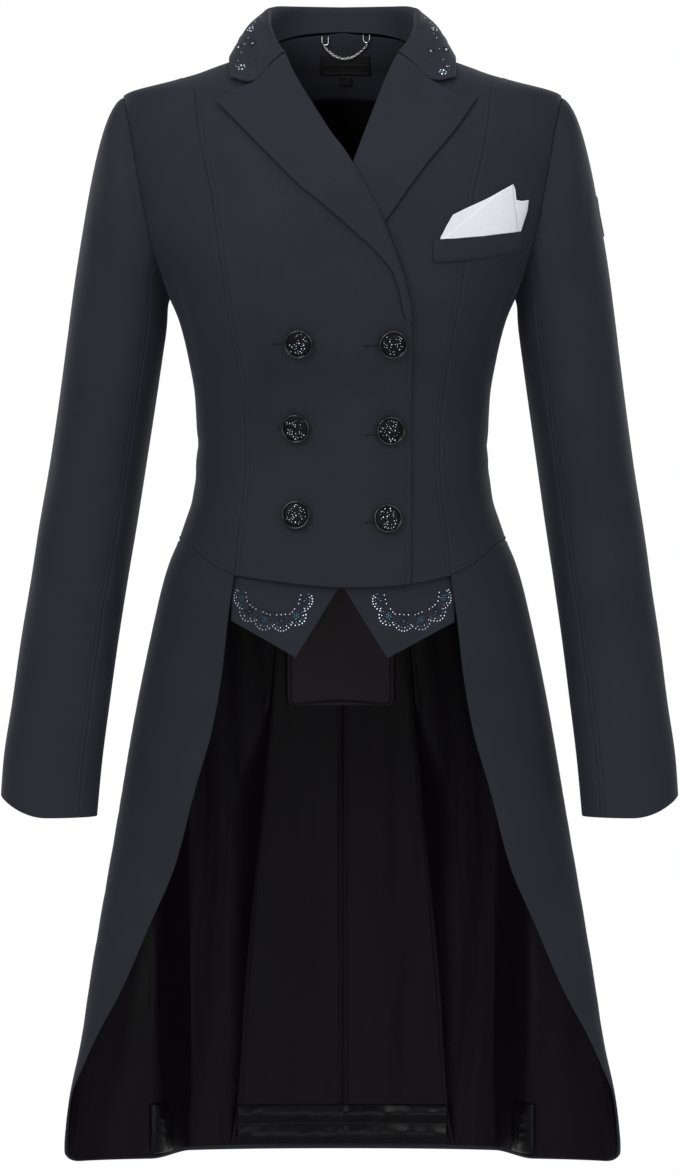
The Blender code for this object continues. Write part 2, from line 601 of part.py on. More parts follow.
def collar():
    rows = []
    for k in range(COLLAR_HALF, 0, -1):
        rows.append(collar_section(k / COLLAR_HALF, -1))
    for k in range(0, COLLAR_HALF + 1):
        rows.append(collar_section(k / COLLAR_HALF, 1))
    P = np.array(rows)
    nr, nc = P.shape[:2]
    Nn = np.zeros_like(P)
    for j in range(nr):
        for i in range(nc):
            a = P[min(j + 1, nr - 1), i] - P[max(j - 1, 0), i]
            b = P[j, min(i + 1, nc - 1)] - P[j, max(i - 1, 0)]
            n = np.cross(a, b)
            Nn[j, i] = n / max(np.linalg.norm(n), 1e-9)
    mid = nr // 2
    if Nn[mid, 3][2] < 0:
        Nn = -Nn
    wall("collar", inset(P + Nn * COLLAR_T / 2, "bt"), inset(P - Nn * COLLAR_T / 2, "bt"), "lapel cloth")
    return P


collar_pts = collar()

# ------------------------------------------------------------------ sleeves
SLEEVE = [  # z, inner x, outer x, centre y, half depth
    (-0.2508, 0.1560, 0.2420, 0.0020, 0.0590), (-0.3036, 0.1636, 0.2490, 0.0050, 0.0570),
    (-0.3564, 0.1714, 0.2565, 0.0060, 0.0545), (-0.4092, 0.1791, 0.2649, 0.0040, 0.0505),
    (-0.4620, 0.1872, 0.2724, -0.0020, 0.0465), (-0.5148, 0.1947, 0.2803, -0.0100, 0.0430),
    (-0.5676, 0.2013, 0.2869, -0.0190, 0.0400), (-0.6204, 0.2075, 0.2940, -0.0290, 0.0375),
    (-0.6700, 0.2118, 0.2968, -0.0370, 0.0355)]
CUFF_OUT, CUFF_FRONT, CUFF_IN, CUFF_BACK = -0.6500, -0.6685, -0.6680, -0.6560
SLEEVE_ROWS = 8
CAP_T = [0.0, 0.10, 0.24, 0.42, 0.66, 1.0]
RING_N = 2 * N_ARM
FRONT_SEAM, BACK_SEAM = 7, 13            # ring places of the two sleeve seams
slIn, slOut, slCy, slHy = [pchip(SLEEVE, c) for c in range(1, 5)]


def ring_psi(k):
    """Ring place to angle: 0 outer, 90 front, 180 inner, 270 back."""
    if k <= FRONT_SEAM:
        return 130.0 * k / FRONT_SEAM
    if k <= N_ARM:
        return 130.0 + 50.0 * (k - FRONT_SEAM) / (N_ARM - FRONT_SEAM)
    if k <= BACK_SEAM:
        return 180.0 + 75.0 * (k - N_ARM) / (BACK_SEAM - N_ARM)
    return 255.0 + 105.0 * (k - BACK_SEAM) / (RING_N - BACK_SEAM)


def sleeve_ring(psi, z):
    c, s = math.cos(math.radians(psi)), math.sin(math.radians(psi))
    r = (abs(c) ** 2.15 + abs(s) ** 2.15) ** (-1 / 2.15)
    x0, x1 = slIn(z), slOut(z)
    sway = SLEEVE_SWAY * smooth(-0.20, -0.66, z)
    return np.array([(x0 + x1) / 2 + (x1 - x0) / 2 * c * r, slCy(z) - slHy(z) * s * r, z]), sway


def cuff_z(psi):
    c, s = math.cos(math.radians(psi)), math.sin(math.radians(psi))
    wx = CUFF_OUT if c > 0 else CUFF_IN
    wy = CUFF_FRONT if s > 0 else CUFF_BACK
    return wx * c * c + wy * s * s


def sleeve_point(k, row):
    """row 0..5 over the cap, then down to the cuff. Wearer's left; returns point and sway."""
    psi = ring_psi(k)
    n_cap = len(CAP_T) - 1
    if row <= n_cap:
        kk = k % RING_N
        if kk <= N_ARM:
            phi, z = arm_f[N_ARM - kk]
        else:
            phi, z = arm_b[kk - N_ARM]
        A, n = body(phi, z), normal(phi, z)
        fold = (1 - math.cos(math.radians(psi))) / 2
        fold = smooth(0.35, 0.95, fold)
        cs, sn = math.cos(math.radians(psi)), math.sin(math.radians(psi))
        T0 = np.array([0.95 - 0.60 * fold, -0.30 * sn, -0.31 - 0.62 * fold])
        T0 /= np.linalg.norm(T0)
        out = np.array([1.0, 0.0, -0.30]) if fold < 0.5 else np.array([0.6, 0, 0.2])
        S = A + n * 0.0022 * fold + T0 * 0.0006 + np.array([0.0006, 0, 0]) * (1 - fold)
        S = S + np.array([0.0020, 0, 0]) * fold
        E, _ = sleeve_ring(psi, -0.2508)
        E2, _ = sleeve_ring(psi, -0.2700)
        T1 = (E2 - E) / np.linalg.norm(E2 - E)
        L = np.linalg.norm(E - S)
        P1 = S + T0 * (0.016 + 0.012 * abs(sn)) * min(1, L / 0.06)
        P2 = E - T1 * min(0.150, 0.70 * L)
        t = CAP_T[row]
        p = (1 - t) ** 3 * S + 3 * t * (1 - t) ** 2 * P1 + 3 * t * t * (1 - t) * P2 + t ** 3 * E
        return p, 0.0
    t = (row - n_cap) / SLEEVE_ROWS
    z = -0.2508 + (cuff_z(psi) + 0.2508) * t
    return sleeve_ring(psi, z)


def sleeve_grid(k0, k1, side):
    rows = len(CAP_T) + SLEEVE_ROWS
    P = np.zeros((rows, k1 - k0 + 1, 3))
    for r in range(rows):
        for k in range(k0, k1 + 1):
            p, sway = sleeve_point(k, r)
            P[r, k - k0] = p * (side, 1, 1) + (sway, 0, 0)
    return P


def sleeve_normals(side):
    """Outward normals on the whole tube, so both pieces share them at their seams."""
    rows = len(CAP_T) + SLEEVE_ROWS
    P = np.zeros((rows, RING_N, 3))
    for r in range(rows):
        for k in range(RING_N):
            p, sway = sleeve_point(k, r)
            P[r, k] = p * (side, 1, 1) + (sway, 0, 0)
    Nn = np.zeros_like(P)
    for r in range(rows):
        for k in range(RING_N):
            a = P[r, (k + 1) % RING_N] - P[r, (k - 1) % RING_N]
            b = P[min(r + 1, rows - 1), k] - P[max(r - 1, 0), k]
            n = np.cross(a, b)
            n /= np.linalg.norm(n)
            c = P[r].mean(axis=0)
            if r >= 2 and np.dot(n, P[r, k] - c) < 0:
                n = -n
            elif r < 2 and np.dot(n, Nn[r, k - 1] if k else n) < 0:
                n = -n
            Nn[r, k] = n
    # the first rows lean on the row below for their sense
    for r in (1, 0):
        for k in range(RING_N):
            if np.dot(Nn[r, k], Nn[r + 1, k]) < 0:
                Nn[r, k] = -Nn[r, k]
    return P, Nn


def sleeve(side, name):
    P, Nn = sleeve_normals(side)

    def cut(k0, k1, node):
        idx = [k % RING_N for k in range(k0, k1 + 1)]
        O = P[:, idx]
        I = O - Nn[:, idx] * WALL
        wall(node, inset(O, "lr"), inset(I, "lr"), "shell cloth")
    cut(FRONT_SEAM, BACK_SEAM, "under_sleeve_" + name)
    cut(BACK_SEAM, RING_N + FRONT_SEAM, "upper_sleeve_" + name)


for name, s in SIDES:
    sleeve(s, name)

# ------------------------------------------------------------------ lining, where it shows
LIN = -WALL - LAYER_GAP
HEM_TURN = 0.0042                         # the lining ends this far inside a free edge
FACING_ROWS = 3                           # rows of the back panel under the neck facing


def shifted(P, edge, by):
    """Draw one edge of a grid of points back along its own facets."""
    Q = P.copy()
    if edge == "b":
        for i in range(P.shape[1]):
            d = P[1, i] - P[0, i]
            Q[0, i] = P[0, i] + d / np.linalg.norm(d) * by
    if edge == "t":
        for i in range(P.shape[1]):
            d = P[-2, i] - P[-1, i]
            Q[-1, i] = P[-1, i] + d / np.linalg.norm(d) * by
    if edge == "l":
        for j in range(P.shape[0]):
            d = P[j, 1] - P[j, 0]
            Q[j, 0] = P[j, 0] + d / np.linalg.norm(d) * by
    return Q


def lining(node, G, side, drawn, finish):
    O, I = place(G, side, LIN), place(G, side, LIN - LINING)
    for edge, by in drawn:
        O, I = shifted(O, edge, by), shifted(I, edge, by)
    return wall(node, inset(O, "btlr"), inset(I, "btlr"), finish)


rows_back = back.shape[0]
cut = rows_back - 1 - FACING_ROWS
for name, s in SIDES:
    lining("lining_back_" + name, back[:cut + 1], s, [("b", HEM_TURN)], "lining satin")
    lining("lining_skirt_" + name, skirt, s, [("b", HEM_TURN), ("l", HEM_TURN)], "lining satin")
# neck facing, from side to side: the top rows of both back panels
half_f = back[cut:, 1:]
both_o = [place(half_f, 1, LIN), place(half_f, -1, LIN)[:, ::-1]]
both_i = [place(half_f, 1, LIN - LINING), place(half_f, -1, LIN - LINING)[:, ::-1]]
F_O = np.concatenate([both_o[0], both_o[1][:, 1:]], axis=1)
F_I = np.concatenate([both_i[0], both_i[1][:, 1:]], axis=1)
F_O, F_I = shifted(F_O, "t", 0.0008), shifted(F_I, "t", 0.0008)
wall("back_neck_facing", inset(F_O, "b"), inset(F_I, "b"), "shell cloth")


def strip(node, x_rows, finish, top, thick, back, side=1, edges=""):
    """Small flat piece on the body: rows of (x, z) points, from the bottom row up."""
    G = np.array([[(phi_of(x, z, back) if abs(x) > 1e-9 else (180.0 if back else 0.0), z) for x, z in row]
                  for row in x_rows])
    if back:
        G[:, :, 0] = np.where(G[:, :, 0] < 0, G[:, :, 0] + 360, G[:, :, 0])
    return panel(node, G, side, finish, top=top, thick=thick, edges=edges)


# puckered casing along the inside of the hem, between the lining seams
CASE_H, CASE_X = 0.036, 0.0960
rows = []
for z in (HEM_Z + 0.0042, HEM_Z + 0.022, HEM_Z + 0.0042 + CASE_H):
    xs = lerp(CASE_X, -CASE_X, 8)
    rows.append([(x * (1.0 if z < -0.95 else 0.985), z) for x in xs])
strip("hem_casing", rows, "casing satin", LIN - LINING - 0.0006, 0.0014, True)
TAB_W, TAB_H, TAB_X = 0.014, 0.044, 0.1640
for name, s in SIDES:
    rows = [[(TAB_X + TAB_W / 2, z), (TAB_X, z), (TAB_X - TAB_W / 2, z)]
            for z in (HEM_Z + 0.005, HEM_Z + 0.027, HEM_Z + 0.005 + TAB_H)]
    strip("hem_tab_" + name, rows, "casing satin", LIN - LINING - 0.0016, 0.0012, True, s)

# ------------------------------------------------------------------ inner back flap
FLAP_X0, FLAP_X1, FLAP_TOP, FLAP_BOT = 0.0482, -0.0517, -0.4000, -0.5745
rows = [[(x, z) for x in lerp(FLAP_X0, FLAP_X1, 4)] for z in lerp(FLAP_BOT, FLAP_TOP, 6)]
strip("inner_back_flap", rows, "inner flap cloth", LIN - LINING - 0.0022, WALL, True)

# ------------------------------------------------------------------ waistcoat points
WC_TOP_Z = -0.4440
WC = {  # x, z of: outer lower corner, tip, inner top
    -1: ((-0.0985, -0.4975), (-0.0410, -0.5305), (-0.0039, -0.4697)),
    1: ((0.0992, -0.4985), (0.0392, -0.5312), (0.0012, -0.4697))}
WC_HI = -0.0054
for name, s in SIDES:
    (ox, oz), (tx, tz), (ix, iz) = WC[s]
    n = 6
    low = []
    for k in range(n + 1):
        t = k / n
        x = ox + (ix - ox) * t
        if (x - tx) * s > 0:
            low.append((x, oz + (tz - oz) * (x - ox) / (tx - ox)))
        else:
            low.append((x, tz + (iz - tz) * (x - tx) / (ix - tx)))
    j = min(range(n + 1), key=lambda q: abs(low[q][0] - tx))
    low[j] = (tx, tz)
    rows = [[(x, z + (WC_TOP_Z - z) * v) for x, z in low] for v in (0, 0.33, 0.66, 1.0)]
    G = np.array([[(phi_of(x * s, z), z) for x, z in row] for row in rows])
    panel("waistcoat_point_" + name, G, s, "shell cloth", top=WC_HI, thick=WALL, edges="")

# ------------------------------------------------------------------ pocket
WELT = [  # x, lower z, upper z
    (0.0773, -0.1902, -0.1713), (0.0930, -0.1893, -0.1700), (0.1090, -0.1872, -0.1683),
    (0.1250, -0.1842, -0.1660), (0.1410, -0.1804, -0.1633), (0.1543, -0.1767, -0.1608)]
rows = [[(x, lo + (hi - lo) * v) for x, lo, hi in WELT] for v in (0, 1)]
G = np.array([[(phi_of(x, z), z) for x, z in row] for row in rows])
panel("pocket_welt", G, 1, "shell cloth", top=0.0032, thick=0.0018, edges="")
SQUARE = [  # x, lower z, upper z (the folded corners of the cloth above the welt)
    (0.0835, -0.1703, -0.1690), (0.0950, -0.1694, -0.1499), (0.1200, -0.1665, -0.1358),
    (0.1459, -0.1620, -0.1209), (0.1481, -0.1616, -0.1339), (0.1520, -0.1609, -0.1345)]
rows = [[(x, lo + (hi - lo) * v + 0.0006) for x, lo, hi in SQUARE] for v in (0, 0.5, 1)]
rows[2][4] = (0.1481, -0.1339)
rows[2][5] = (0.1594, -0.1330)
rows[1][5] = (0.1550, -0.1480)
G = np.array([[(phi_of(x, z), z) for x, z in row] for row in rows])
panel("pocket_square", G, 1, "white cloth", top=0.0028, thick=0.0012, edges="")

# ------------------------------------------------------------------ labels inside the neck
LABEL_HI = LIN - LINING - 0.0015
rows = [[(x, z) for x in lerp(0.0255, -0.0201, 4)] for z in (-0.0093, 0.0077)]
strip("neck_label", rows, "label tape", LABEL_HI, 0.0006, True)
rows = [[(x, z) for x in lerp(0.0085, -0.0022, 1)] for z in (-0.0183, -0.0105)]
strip("size_tab", rows, "label tape", LABEL_HI, 0.0006, True)


# ------------------------------------------------------------------ turned and tube pieces
def frame_at(d):
    d = np.asarray(d, float)
    d = d / np.linalg.norm(d)
    up = np.array([0, 0, 1.0]) if abs(d[2]) < 0.9 else np.array([1.0, 0, 0])
    a = np.cross(up, d)
    a /= np.linalg.norm(a)
    return a, np.cross(d, a), d


def turned(node, centre, axis, profile, segs, finish):
    """profile: (radius, height) from the back to the front; closed at both ends on the axis."""
    a, b, d = frame_at(axis)
    V = [centre + d * profile[0][1]]
    F = []
    rings = []
    for r, h in profile[1:-1]:
        rings.append(len(V))
        for k in range(segs):
            t = 2 * math.pi * k / segs
            V.append(centre + d * h + (a * math.cos(t) + b * math.sin(t)) * r)
    V.append(centre + d * profile[-1][1])
    last = len(V) - 1
    for k in range(segs):
        k2 = (k + 1) % segs
        F.append((0, rings[0] + k2, rings[0] + k))
        F.append((last, rings[-1] + k, rings[-1] + k2))
    for q in range(len(rings) - 1):
        for k in range(segs):
            k2 = (k + 1) % segs
            F.append((rings[q] + k, rings[q] + k2, rings[q + 1] + k2, rings[q + 1] + k))
    return add(node, V, F, finish)


def tube(node, pts, r, sides, finish):
    pts = [np.asarray(p, float) for p in pts]
    V, F = [], []
    ref = np.array([0, 1.0, 0])
    for i, p in enumerate(pts):
        d = pts[min(i + 1, len(pts) - 1)] - pts[max(i - 1, 0)]
        d /= np.linalg.norm(d)
        a = np.cross(ref, d)
        a /= np.linalg.norm(a)
        b = np.cross(d, a)
        for k in range(sides):
            t = 2 * math.pi * k / sides
            V.append(p + (a * math.cos(t) + b * math.sin(t)) * r)
    for i in range(len(pts) - 1):
        for k in range(sides):
            k2 = (k + 1) % sides
            F.append((i * sides + k, i * sides + k2, (i + 1) * sides + k2, (i + 1) * sides + k))
    F.append(tuple(range(sides - 1, -1, -1)))
    F.append(tuple((len(pts) - 1) * sides + k for k in range(sides)))
    return add(node, V, F, finish)


# ------------------------------------------------------------------ buttons
BUTTONS = [  # name, x, z
    ("button_top_right", -0.0365, -0.2580), ("button_top_left", 0.0418, -0.2583),
    ("button_middle_right", -0.0392, -0.3308), ("button_middle_left", 0.0401, -0.3325),
    ("button_bottom_right", -0.0392, -0.4066), ("button_bottom_left", 0.0380, -0.4097)]
R = BUTTON_D / 2
PROFILE = [(0, 0.0), (R * 0.55, 0.0), (R * 0.96, 0.0022), (R, 0.0036), (R * 0.93, 0.0052),
           (R * 0.80, 0.0050), (R * 0.74, 0.0042), (0, 0.0048)]
BUTTON_STAND = 0.0012
for nm, x, z in BUTTONS:
    phi = phi_of(-x, z)
    p, n = body(phi, z) * (-1, 1, 1), normal(phi, z) * (-1, 1, 1)
    turned(nm, p + n * (lift(x, z) + BUTTON_STAND), n, PROFILE, 20, "button")

# ------------------------------------------------------------------ hanging chain and its fittings
CHAIN_Y_IN = 0.0040


def inside_neck(x, z, off):
    phi = phi_of(x, z, True)
    return body(phi, z) + normal(phi, z) * (LIN - LINING - off)


for name, (x, z0, z1) in (("left", (0.0228, 0.0178, 0.0246)), ("right", (-0.0165, 0.0158, 0.0230))):
    w = 0.0030
    arc = [(x - w, z0 + 0.0030)] + \
          [(x - w * math.cos(t), z0 + 0.003 - 0.0030 * math.sin(t)) for t in lerp(0, math.pi, 6)[1:-1]] + \
          [(x + w, z0 + 0.0030)]
    pts = [(x - w, z1)] + arc + [(x + w, z1)]
    tube("fitting_" + name, [inside_neck(px, pz, 0.0022) for px, pz in pts], 0.0008, 6, "chain metal")
CH0, CH1, CH_SAG = (-0.0165, 0.0138), (0.0228, 0.0158), 0.0095
pts = []
for k in range(13):
    t = k / 12
    x = CH0[0] + (CH1[0] - CH0[0]) * t
    z = CH0[1] + (CH1[1] - CH0[1]) * t - CH_SAG * 4 * t * (1 - t)
    pts.append(inside_neck(x, z, 0.0030 + 0.0006 * 4 * t * (1 - t)))
tube("hang_chain", pts, 0.0010, 6, "chain metal")

# ------------------------------------------------------------------ sleeve badge, plain lozenge
BADGE_Z, BADGE_OFF = -0.1460, 0.0007


def badge():
    """Follows the outer face of the wearer's-left upper sleeve, half way round to the back."""
    P, Nn = sleeve_normals(1)

    def at(psi_k, z):
        k0 = int(math.floor(psi_k))
        w = psi_k - k0
        best = None
        for r in range(len(P) - 1):
            a = P[r, k0 % RING_N] * (1 - w) + P[r, (k0 + 1) % RING_N] * w
            b = P[r + 1, k0 % RING_N] * (1 - w) + P[r + 1, (k0 + 1) % RING_N] * w
            if a[2] >= z >= b[2]:
                t = (a[2] - z) / (a[2] - b[2])
                na = Nn[r, k0 % RING_N] * (1 - w) + Nn[r, (k0 + 1) % RING_N] * w
                nb = Nn[r + 1, k0 % RING_N] * (1 - w) + Nn[r + 1, (k0 + 1) % RING_N] * w
                n = na * (1 - t) + nb * t
                best = (a * (1 - t) + b * t, n / np.linalg.norm(n))
        return best
    rows = []
    for v in (-1.0, -0.5, 0.0, 0.5, 1.0):
        half = (1 - abs(v)) * 0.85 + 0.15
        row = []
        for u in (-1, 0, 1):
            p, n = at(RING_N + 0.35 + u * half * 0.52, BADGE_Z + v * BADGE_H / 2)
            row.append((p, n))
        rows.append(row)
    O = np.array([[p + n * (BADGE_OFF + 0.0011) for p, n in row] for row in rows])
    I = np.array([[p + n * BADGE_OFF for p, n in row] for row in rows])
    wall("sleeve_badge", O, I, "badge rubber")


badge()
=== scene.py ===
"""Looks of the tailcoat: every piece of cloth as a fine thin shell on the form of its solid, with its
creases, rolled edges, seams, topstitching, crystals and satin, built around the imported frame.

Frame: +Z up, the front faces -Y, +X is the wearer's left. Metres.
"""
import bpy
import math
import numpy as np
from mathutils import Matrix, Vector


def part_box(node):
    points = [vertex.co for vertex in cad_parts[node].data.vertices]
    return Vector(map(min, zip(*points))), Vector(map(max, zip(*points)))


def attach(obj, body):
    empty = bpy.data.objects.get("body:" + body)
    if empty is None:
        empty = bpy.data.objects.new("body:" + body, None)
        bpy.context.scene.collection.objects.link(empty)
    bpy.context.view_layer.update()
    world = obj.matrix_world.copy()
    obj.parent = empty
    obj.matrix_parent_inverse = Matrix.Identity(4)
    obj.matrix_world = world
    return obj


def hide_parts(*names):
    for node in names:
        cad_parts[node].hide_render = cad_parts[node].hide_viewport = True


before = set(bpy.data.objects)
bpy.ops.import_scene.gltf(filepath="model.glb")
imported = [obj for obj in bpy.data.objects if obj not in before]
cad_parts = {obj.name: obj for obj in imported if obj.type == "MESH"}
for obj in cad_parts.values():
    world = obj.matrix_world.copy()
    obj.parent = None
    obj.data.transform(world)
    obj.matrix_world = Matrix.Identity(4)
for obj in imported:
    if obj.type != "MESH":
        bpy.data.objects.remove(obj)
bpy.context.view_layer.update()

# ------------------------------------------------------------------ sizes, as the solids have them
WALL, LINING, LAYER_GAP = 0.0016, 0.0010, 0.0012
CHEST = -0.2161
FRONT_EDGE_RIGHT, FRONT_EDGE_LEFT = 0.0586, -0.0426
HEM_Z = -0.9755
SLEEVE_SWAY = -0.0026
N_SIDE, N_ARM, N_TAIL = 6, 9, 9
RINGS = [  # z,      a,      f,     b,     nf,   nb
    (0.0300, 0.0680, 0.040, 0.0600, 2.2, 2.1), (0.0180, 0.0715, 0.041, 0.0625, 2.2, 2.1),
    (0.0080, 0.0755, 0.043, 0.0655, 2.2, 2.1), (-0.0020, 0.0830, 0.047, 0.0695, 2.2, 2.15),
    (-0.0062, 0.0975, 0.049, 0.0715, 2.2, 2.2), (-0.0120, 0.1140, 0.052, 0.0735, 2.25, 2.2),
    (-0.0176, 0.1290, 0.0545, 0.0755, 2.3, 2.25), (-0.0229, 0.1480, 0.057, 0.0775, 2.35, 2.3),
    (-0.0370, 0.1925, 0.0645, 0.0825, 2.45, 2.4), (-0.0500, 0.1945, 0.0715, 0.0865, 2.5, 2.45),
    (-0.0700, 0.1940, 0.0825, 0.0920, 2.6, 2.5), (-0.1000, 0.1910, 0.0975, 0.1000, 2.75, 2.55),
    (-0.1420, 0.1840, 0.1130, 0.1080, 2.8, 2.6), (-0.1700, 0.1760, 0.1205, 0.1120, 2.8, 2.6),
    (-0.1950, 0.1616, 0.1255, 0.1140, 2.8, 2.5), (-0.2161, 0.1512, 0.1275, 0.1135, 2.75, 2.4),
    (-0.2332, 0.1439, 0.1270, 0.1110, 2.7, 2.35), (-0.2684, 0.1351, 0.1205, 0.1040, 2.5, 2.3),
    (-0.3036, 0.1294, 0.1095, 0.0970, 2.35, 2.3), (-0.3388, 0.1280, 0.1015, 0.0930, 2.3, 2.3),
    (-0.3740, 0.1298, 0.0985, 0.0925, 2.3, 2.3), (-0.3916, 0.1320, 0.0980, 0.0935, 2.3, 2.3),
    (-0.4092, 0.1377, 0.0985, 0.0960, 2.3, 2.3), (-0.4268, 0.1439, 0.0995, 0.0995, 2.3, 2.3),
    (-0.4444, 0.1514, 0.1005, 0.1030, 2.3, 2.3), (-0.4620, 0.1571, 0.1015, 0.1070, 2.3, 2.3),
    (-0.4972, 0.1654, 0.0990, 0.1140, 2.3, 2.3), (-0.5500, 0.1760, 0.0880, 0.1210, 2.3, 2.3),
    (-0.6028, 0.1857, 0.0780, 0.1250, 2.3, 2.3), (-0.6556, 0.1949, 0.0705, 0.1270, 2.3, 2.3),
    (-0.7084, 0.2042, 0.0660, 0.1280, 2.3, 2.3), (-0.7612, 0.2134, 0.0625, 0.1285, 2.3, 2.3),
    (-0.8140, 0.2222, 0.0600, 0.1285, 2.3, 2.3), (-0.8668, 0.2301, 0.0580, 0.1280, 2.3, 2.3),
    (-0.9196, 0.2407, 0.0560, 0.1270, 2.3, 2.3), (-0.9800, 0.2475, 0.0540, 0.1250, 2.3, 2.3)]
FLUTE_X0, FLUTE_X1, FLUTE_KEEP, FLUTE_TOP_Z, FLUTE_FULL_Z = 0.138, 0.170, 0.40, -0.58, -0.88
FRONT_PRINCESS = [  # z, x
    (-0.0185, 0.1307), (-0.0489, 0.1282), (-0.0862, 0.1230), (-0.1282, 0.1137), (-0.1651, 0.1086),
    (-0.2196, 0.1016), (-0.2548, 0.0956), (-0.2929, 0.0888), (-0.3213, 0.0853), (-0.3600, 0.0845),
    (-0.3989, 0.0878), (-0.4275, 0.0915), (-0.4580, 0.0940)]
BACK_PRINCESS = [  # z, x
    (-0.0185, 0.1307), (-0.0500, 0.1230), (-0.1000, 0.1130), (-0.1500, 0.1015), (-0.2000, 0.0870),
    (-0.2500, 0.0720), (-0.3000, 0.0610), (-0.3400, 0.0560), (-0.3800, 0.0550), (-0.4180, 0.0560),
    (-0.4600, 0.0565), (-0.5000, 0.0585), (-0.5267, 0.0610), (-0.5918, 0.0664), (-0.6700, 0.0736),
    (-0.7650, 0.0830), (-0.8360, 0.0890), (-0.9160, 0.0940), (-0.9500, 0.0975), (-0.9755, 0.1030)]
ARMHOLE = [  # z, x in front, x behind
    (-0.0370, 0.1925, 0.1925), (-0.0520, 0.1897, 0.1910), (-0.0720, 0.1853, 0.1880),
    (-0.1020, 0.1800, 0.1840), (-0.1220, 0.1760, 0.1808), (-0.1420, 0.1724, 0.1775),
    (-0.1690, 0.1668, 0.1705), (-0.1950, 0.1585, 0.1597), (-0.2161, 0.1512, 0.1512)]
WAIST_SEAM = [  # phi, z
    (46.0, -0.4580), (52.5, -0.4525), (60.0, -0.4430), (68.0, -0.4330), (76.0, -0.4285),
    (90.0, -0.4265), (110.0, -0.4235), (130.0, -0.4205), (152.0, -0.4180)]
TAIL_EDGE = [  # z, x
    (-0.4580, 0.0940), (-0.4941, 0.0990), (-0.5417, 0.1044), (-0.5905, 0.1129), (-0.6455, 0.1286),
    (-0.7122, 0.1462), (-0.7624, 0.1677), (-0.8203, 0.1932), (-0.8641, 0.2171), (-0.9080, 0.2371)]
ROLL_RIGHT = [  # z, x
    (-0.0054, -0.0510), (-0.0178, -0.0458), (-0.0654, -0.0186), (-0.1091, 0.0081),
    (-0.1203, 0.0142), (-0.1504, 0.0300), (-0.1659, 0.0364), (-0.1891, 0.0456),
    (-0.2115, 0.0524), (-0.2481, 0.0577), (-0.3000, 0.0586), (-0.4680, 0.0586)]
ROLL_LEFT = [  # z, x
    (-0.0054, 0.0492), (-0.0178, 0.0431), (-0.0707, 0.0228), (-0.1091, 0.0081),
    (-0.1203, 0.0020), (-0.1504, -0.0139), (-0.1659, -0.0202), (-0.1891, -0.0294),
    (-0.2115, -0.0362), (-0.2481, -0.0417), (-0.3000, -0.0426), (-0.4680, -0.0426)]
FRONT_HEM = [  # x, z
    (-0.0940, -0.4580), (-0.0642, -0.4625), (-0.0300, -0.4665), (0.0, -0.4685), (0.0300, -0.4680),
    (0.0586, -0.4655), (0.0940, -0.4580)]
NECKLINE = [(90.0, -0.0020), (110.0, 0.0085), (135.0, 0.0190), (180.0, 0.0260)]  # phi, z


def pchip(table, col, key=0):
    rows = sorted(table, key=lambda r: r[key])
    x = np.array([r[key] for r in rows], float)
    y = np.array([r[col] for r in rows], float)
    h = np.diff(x)
    d = np.diff(y) / h
    m = np.zeros(len(x))
    for i in range(1, len(x) - 1):
        if d[i - 1] * d[i] > 0:
            w1, w2 = 2 * h[i] + h[i - 1], h[i] + 2 * h[i - 1]
            m[i] = (w1 + w2) / (w1 / d[i - 1] + w2 / d[i])
    m[0], m[-1] = d[0], d[-1]

    def f(v):
        v = np.clip(np.asarray(v, float), x[0], x[-1])
        i = np.clip(np.searchsorted(x, v) - 1, 0, len(h) - 1)
        t = (v - x[i]) / h[i]
        return ((2 * t**3 - 3 * t**2 + 1) * y[i] + (t**3 - 2 * t**2 + t) * h[i] * m[i]
                + (-2 * t**3 + 3 * t**2) * y[i + 1] + (t**3 - t**2) * h[i] * m[i + 1])
    return f


ringA, ringF, ringB, ringNF, ringNB = [pchip(RINGS, c) for c in range(1, 6)]
frontPrincess, backPrincess = pchip(FRONT_PRINCESS, 1), pchip(BACK_PRINCESS, 1)
armFront, armBack = pchip(ARMHOLE, 1), pchip(ARMHOLE, 2)
waistZ, tailEdge, frontHemZ, necklineZ = pchip(WAIST_SEAM, 1), pchip(TAIL_EDGE, 1), pchip(FRONT_HEM, 1), pchip(NECKLINE, 1)
rollX = {1: pchip(ROLL_LEFT, 1), -1: pchip(ROLL_RIGHT, 1)}


def smooth(e0, e1, v):
    t = np.clip((np.asarray(v, float) - e0) / (e1 - e0), 0.0, 1.0)
    return t * t * (3 - 2 * t)


def body(phi, z):
    phi, z = np.broadcast_arrays(np.asarray(phi, float), np.asarray(z, float))
    p = np.radians(phi)
    s, c = np.sin(p), -np.cos(p)
    front = c < 0
    d = np.where(front, ringF(z), ringB(z))
    n = np.where(front, ringNF(z), ringNB(z))
    r = ((np.abs(s) / ringA(z)) ** n + (np.abs(c) / d) ** n) ** (-1.0 / n)
    x, y = r * s, r * c
    amount = smooth(FLUTE_TOP_Z, FLUTE_FULL_Z, z) * smooth(FLUTE_X0, FLUTE_X1, np.abs(x))
    y = np.where(y > 0, y * (1 - (1 - FLUTE_KEEP) * amount), y)
    return np.stack([x, y, z], -1)


def unit(v):
    return v / np.maximum(np.linalg.norm(v, axis=-1, keepdims=True), 1e-12)


def normal(phi, z):
    u = body(phi + 0.4, z) - body(phi - 0.4, z)
    v = body(phi, z + 0.0012) - body(phi, z - 0.0012)
    return unit(np.cross(u, v))


def phi_of(x, z, back=False):
    x, z = np.broadcast_arrays(np.asarray(x, float), np.asarray(z, float))
    a = ringA(z)
    d, n = (ringB(z), ringNB(z)) if back else (ringF(z), ringNF(z))
    k = np.minimum(np.abs(x) / a, 1.0)
    y = d * np.maximum(1 - k ** n, 0) ** (1.0 / n)
    p = np.degrees(np.arctan2(np.abs(x), -y if back else y))
    return np.where(x < 0, -p, p)


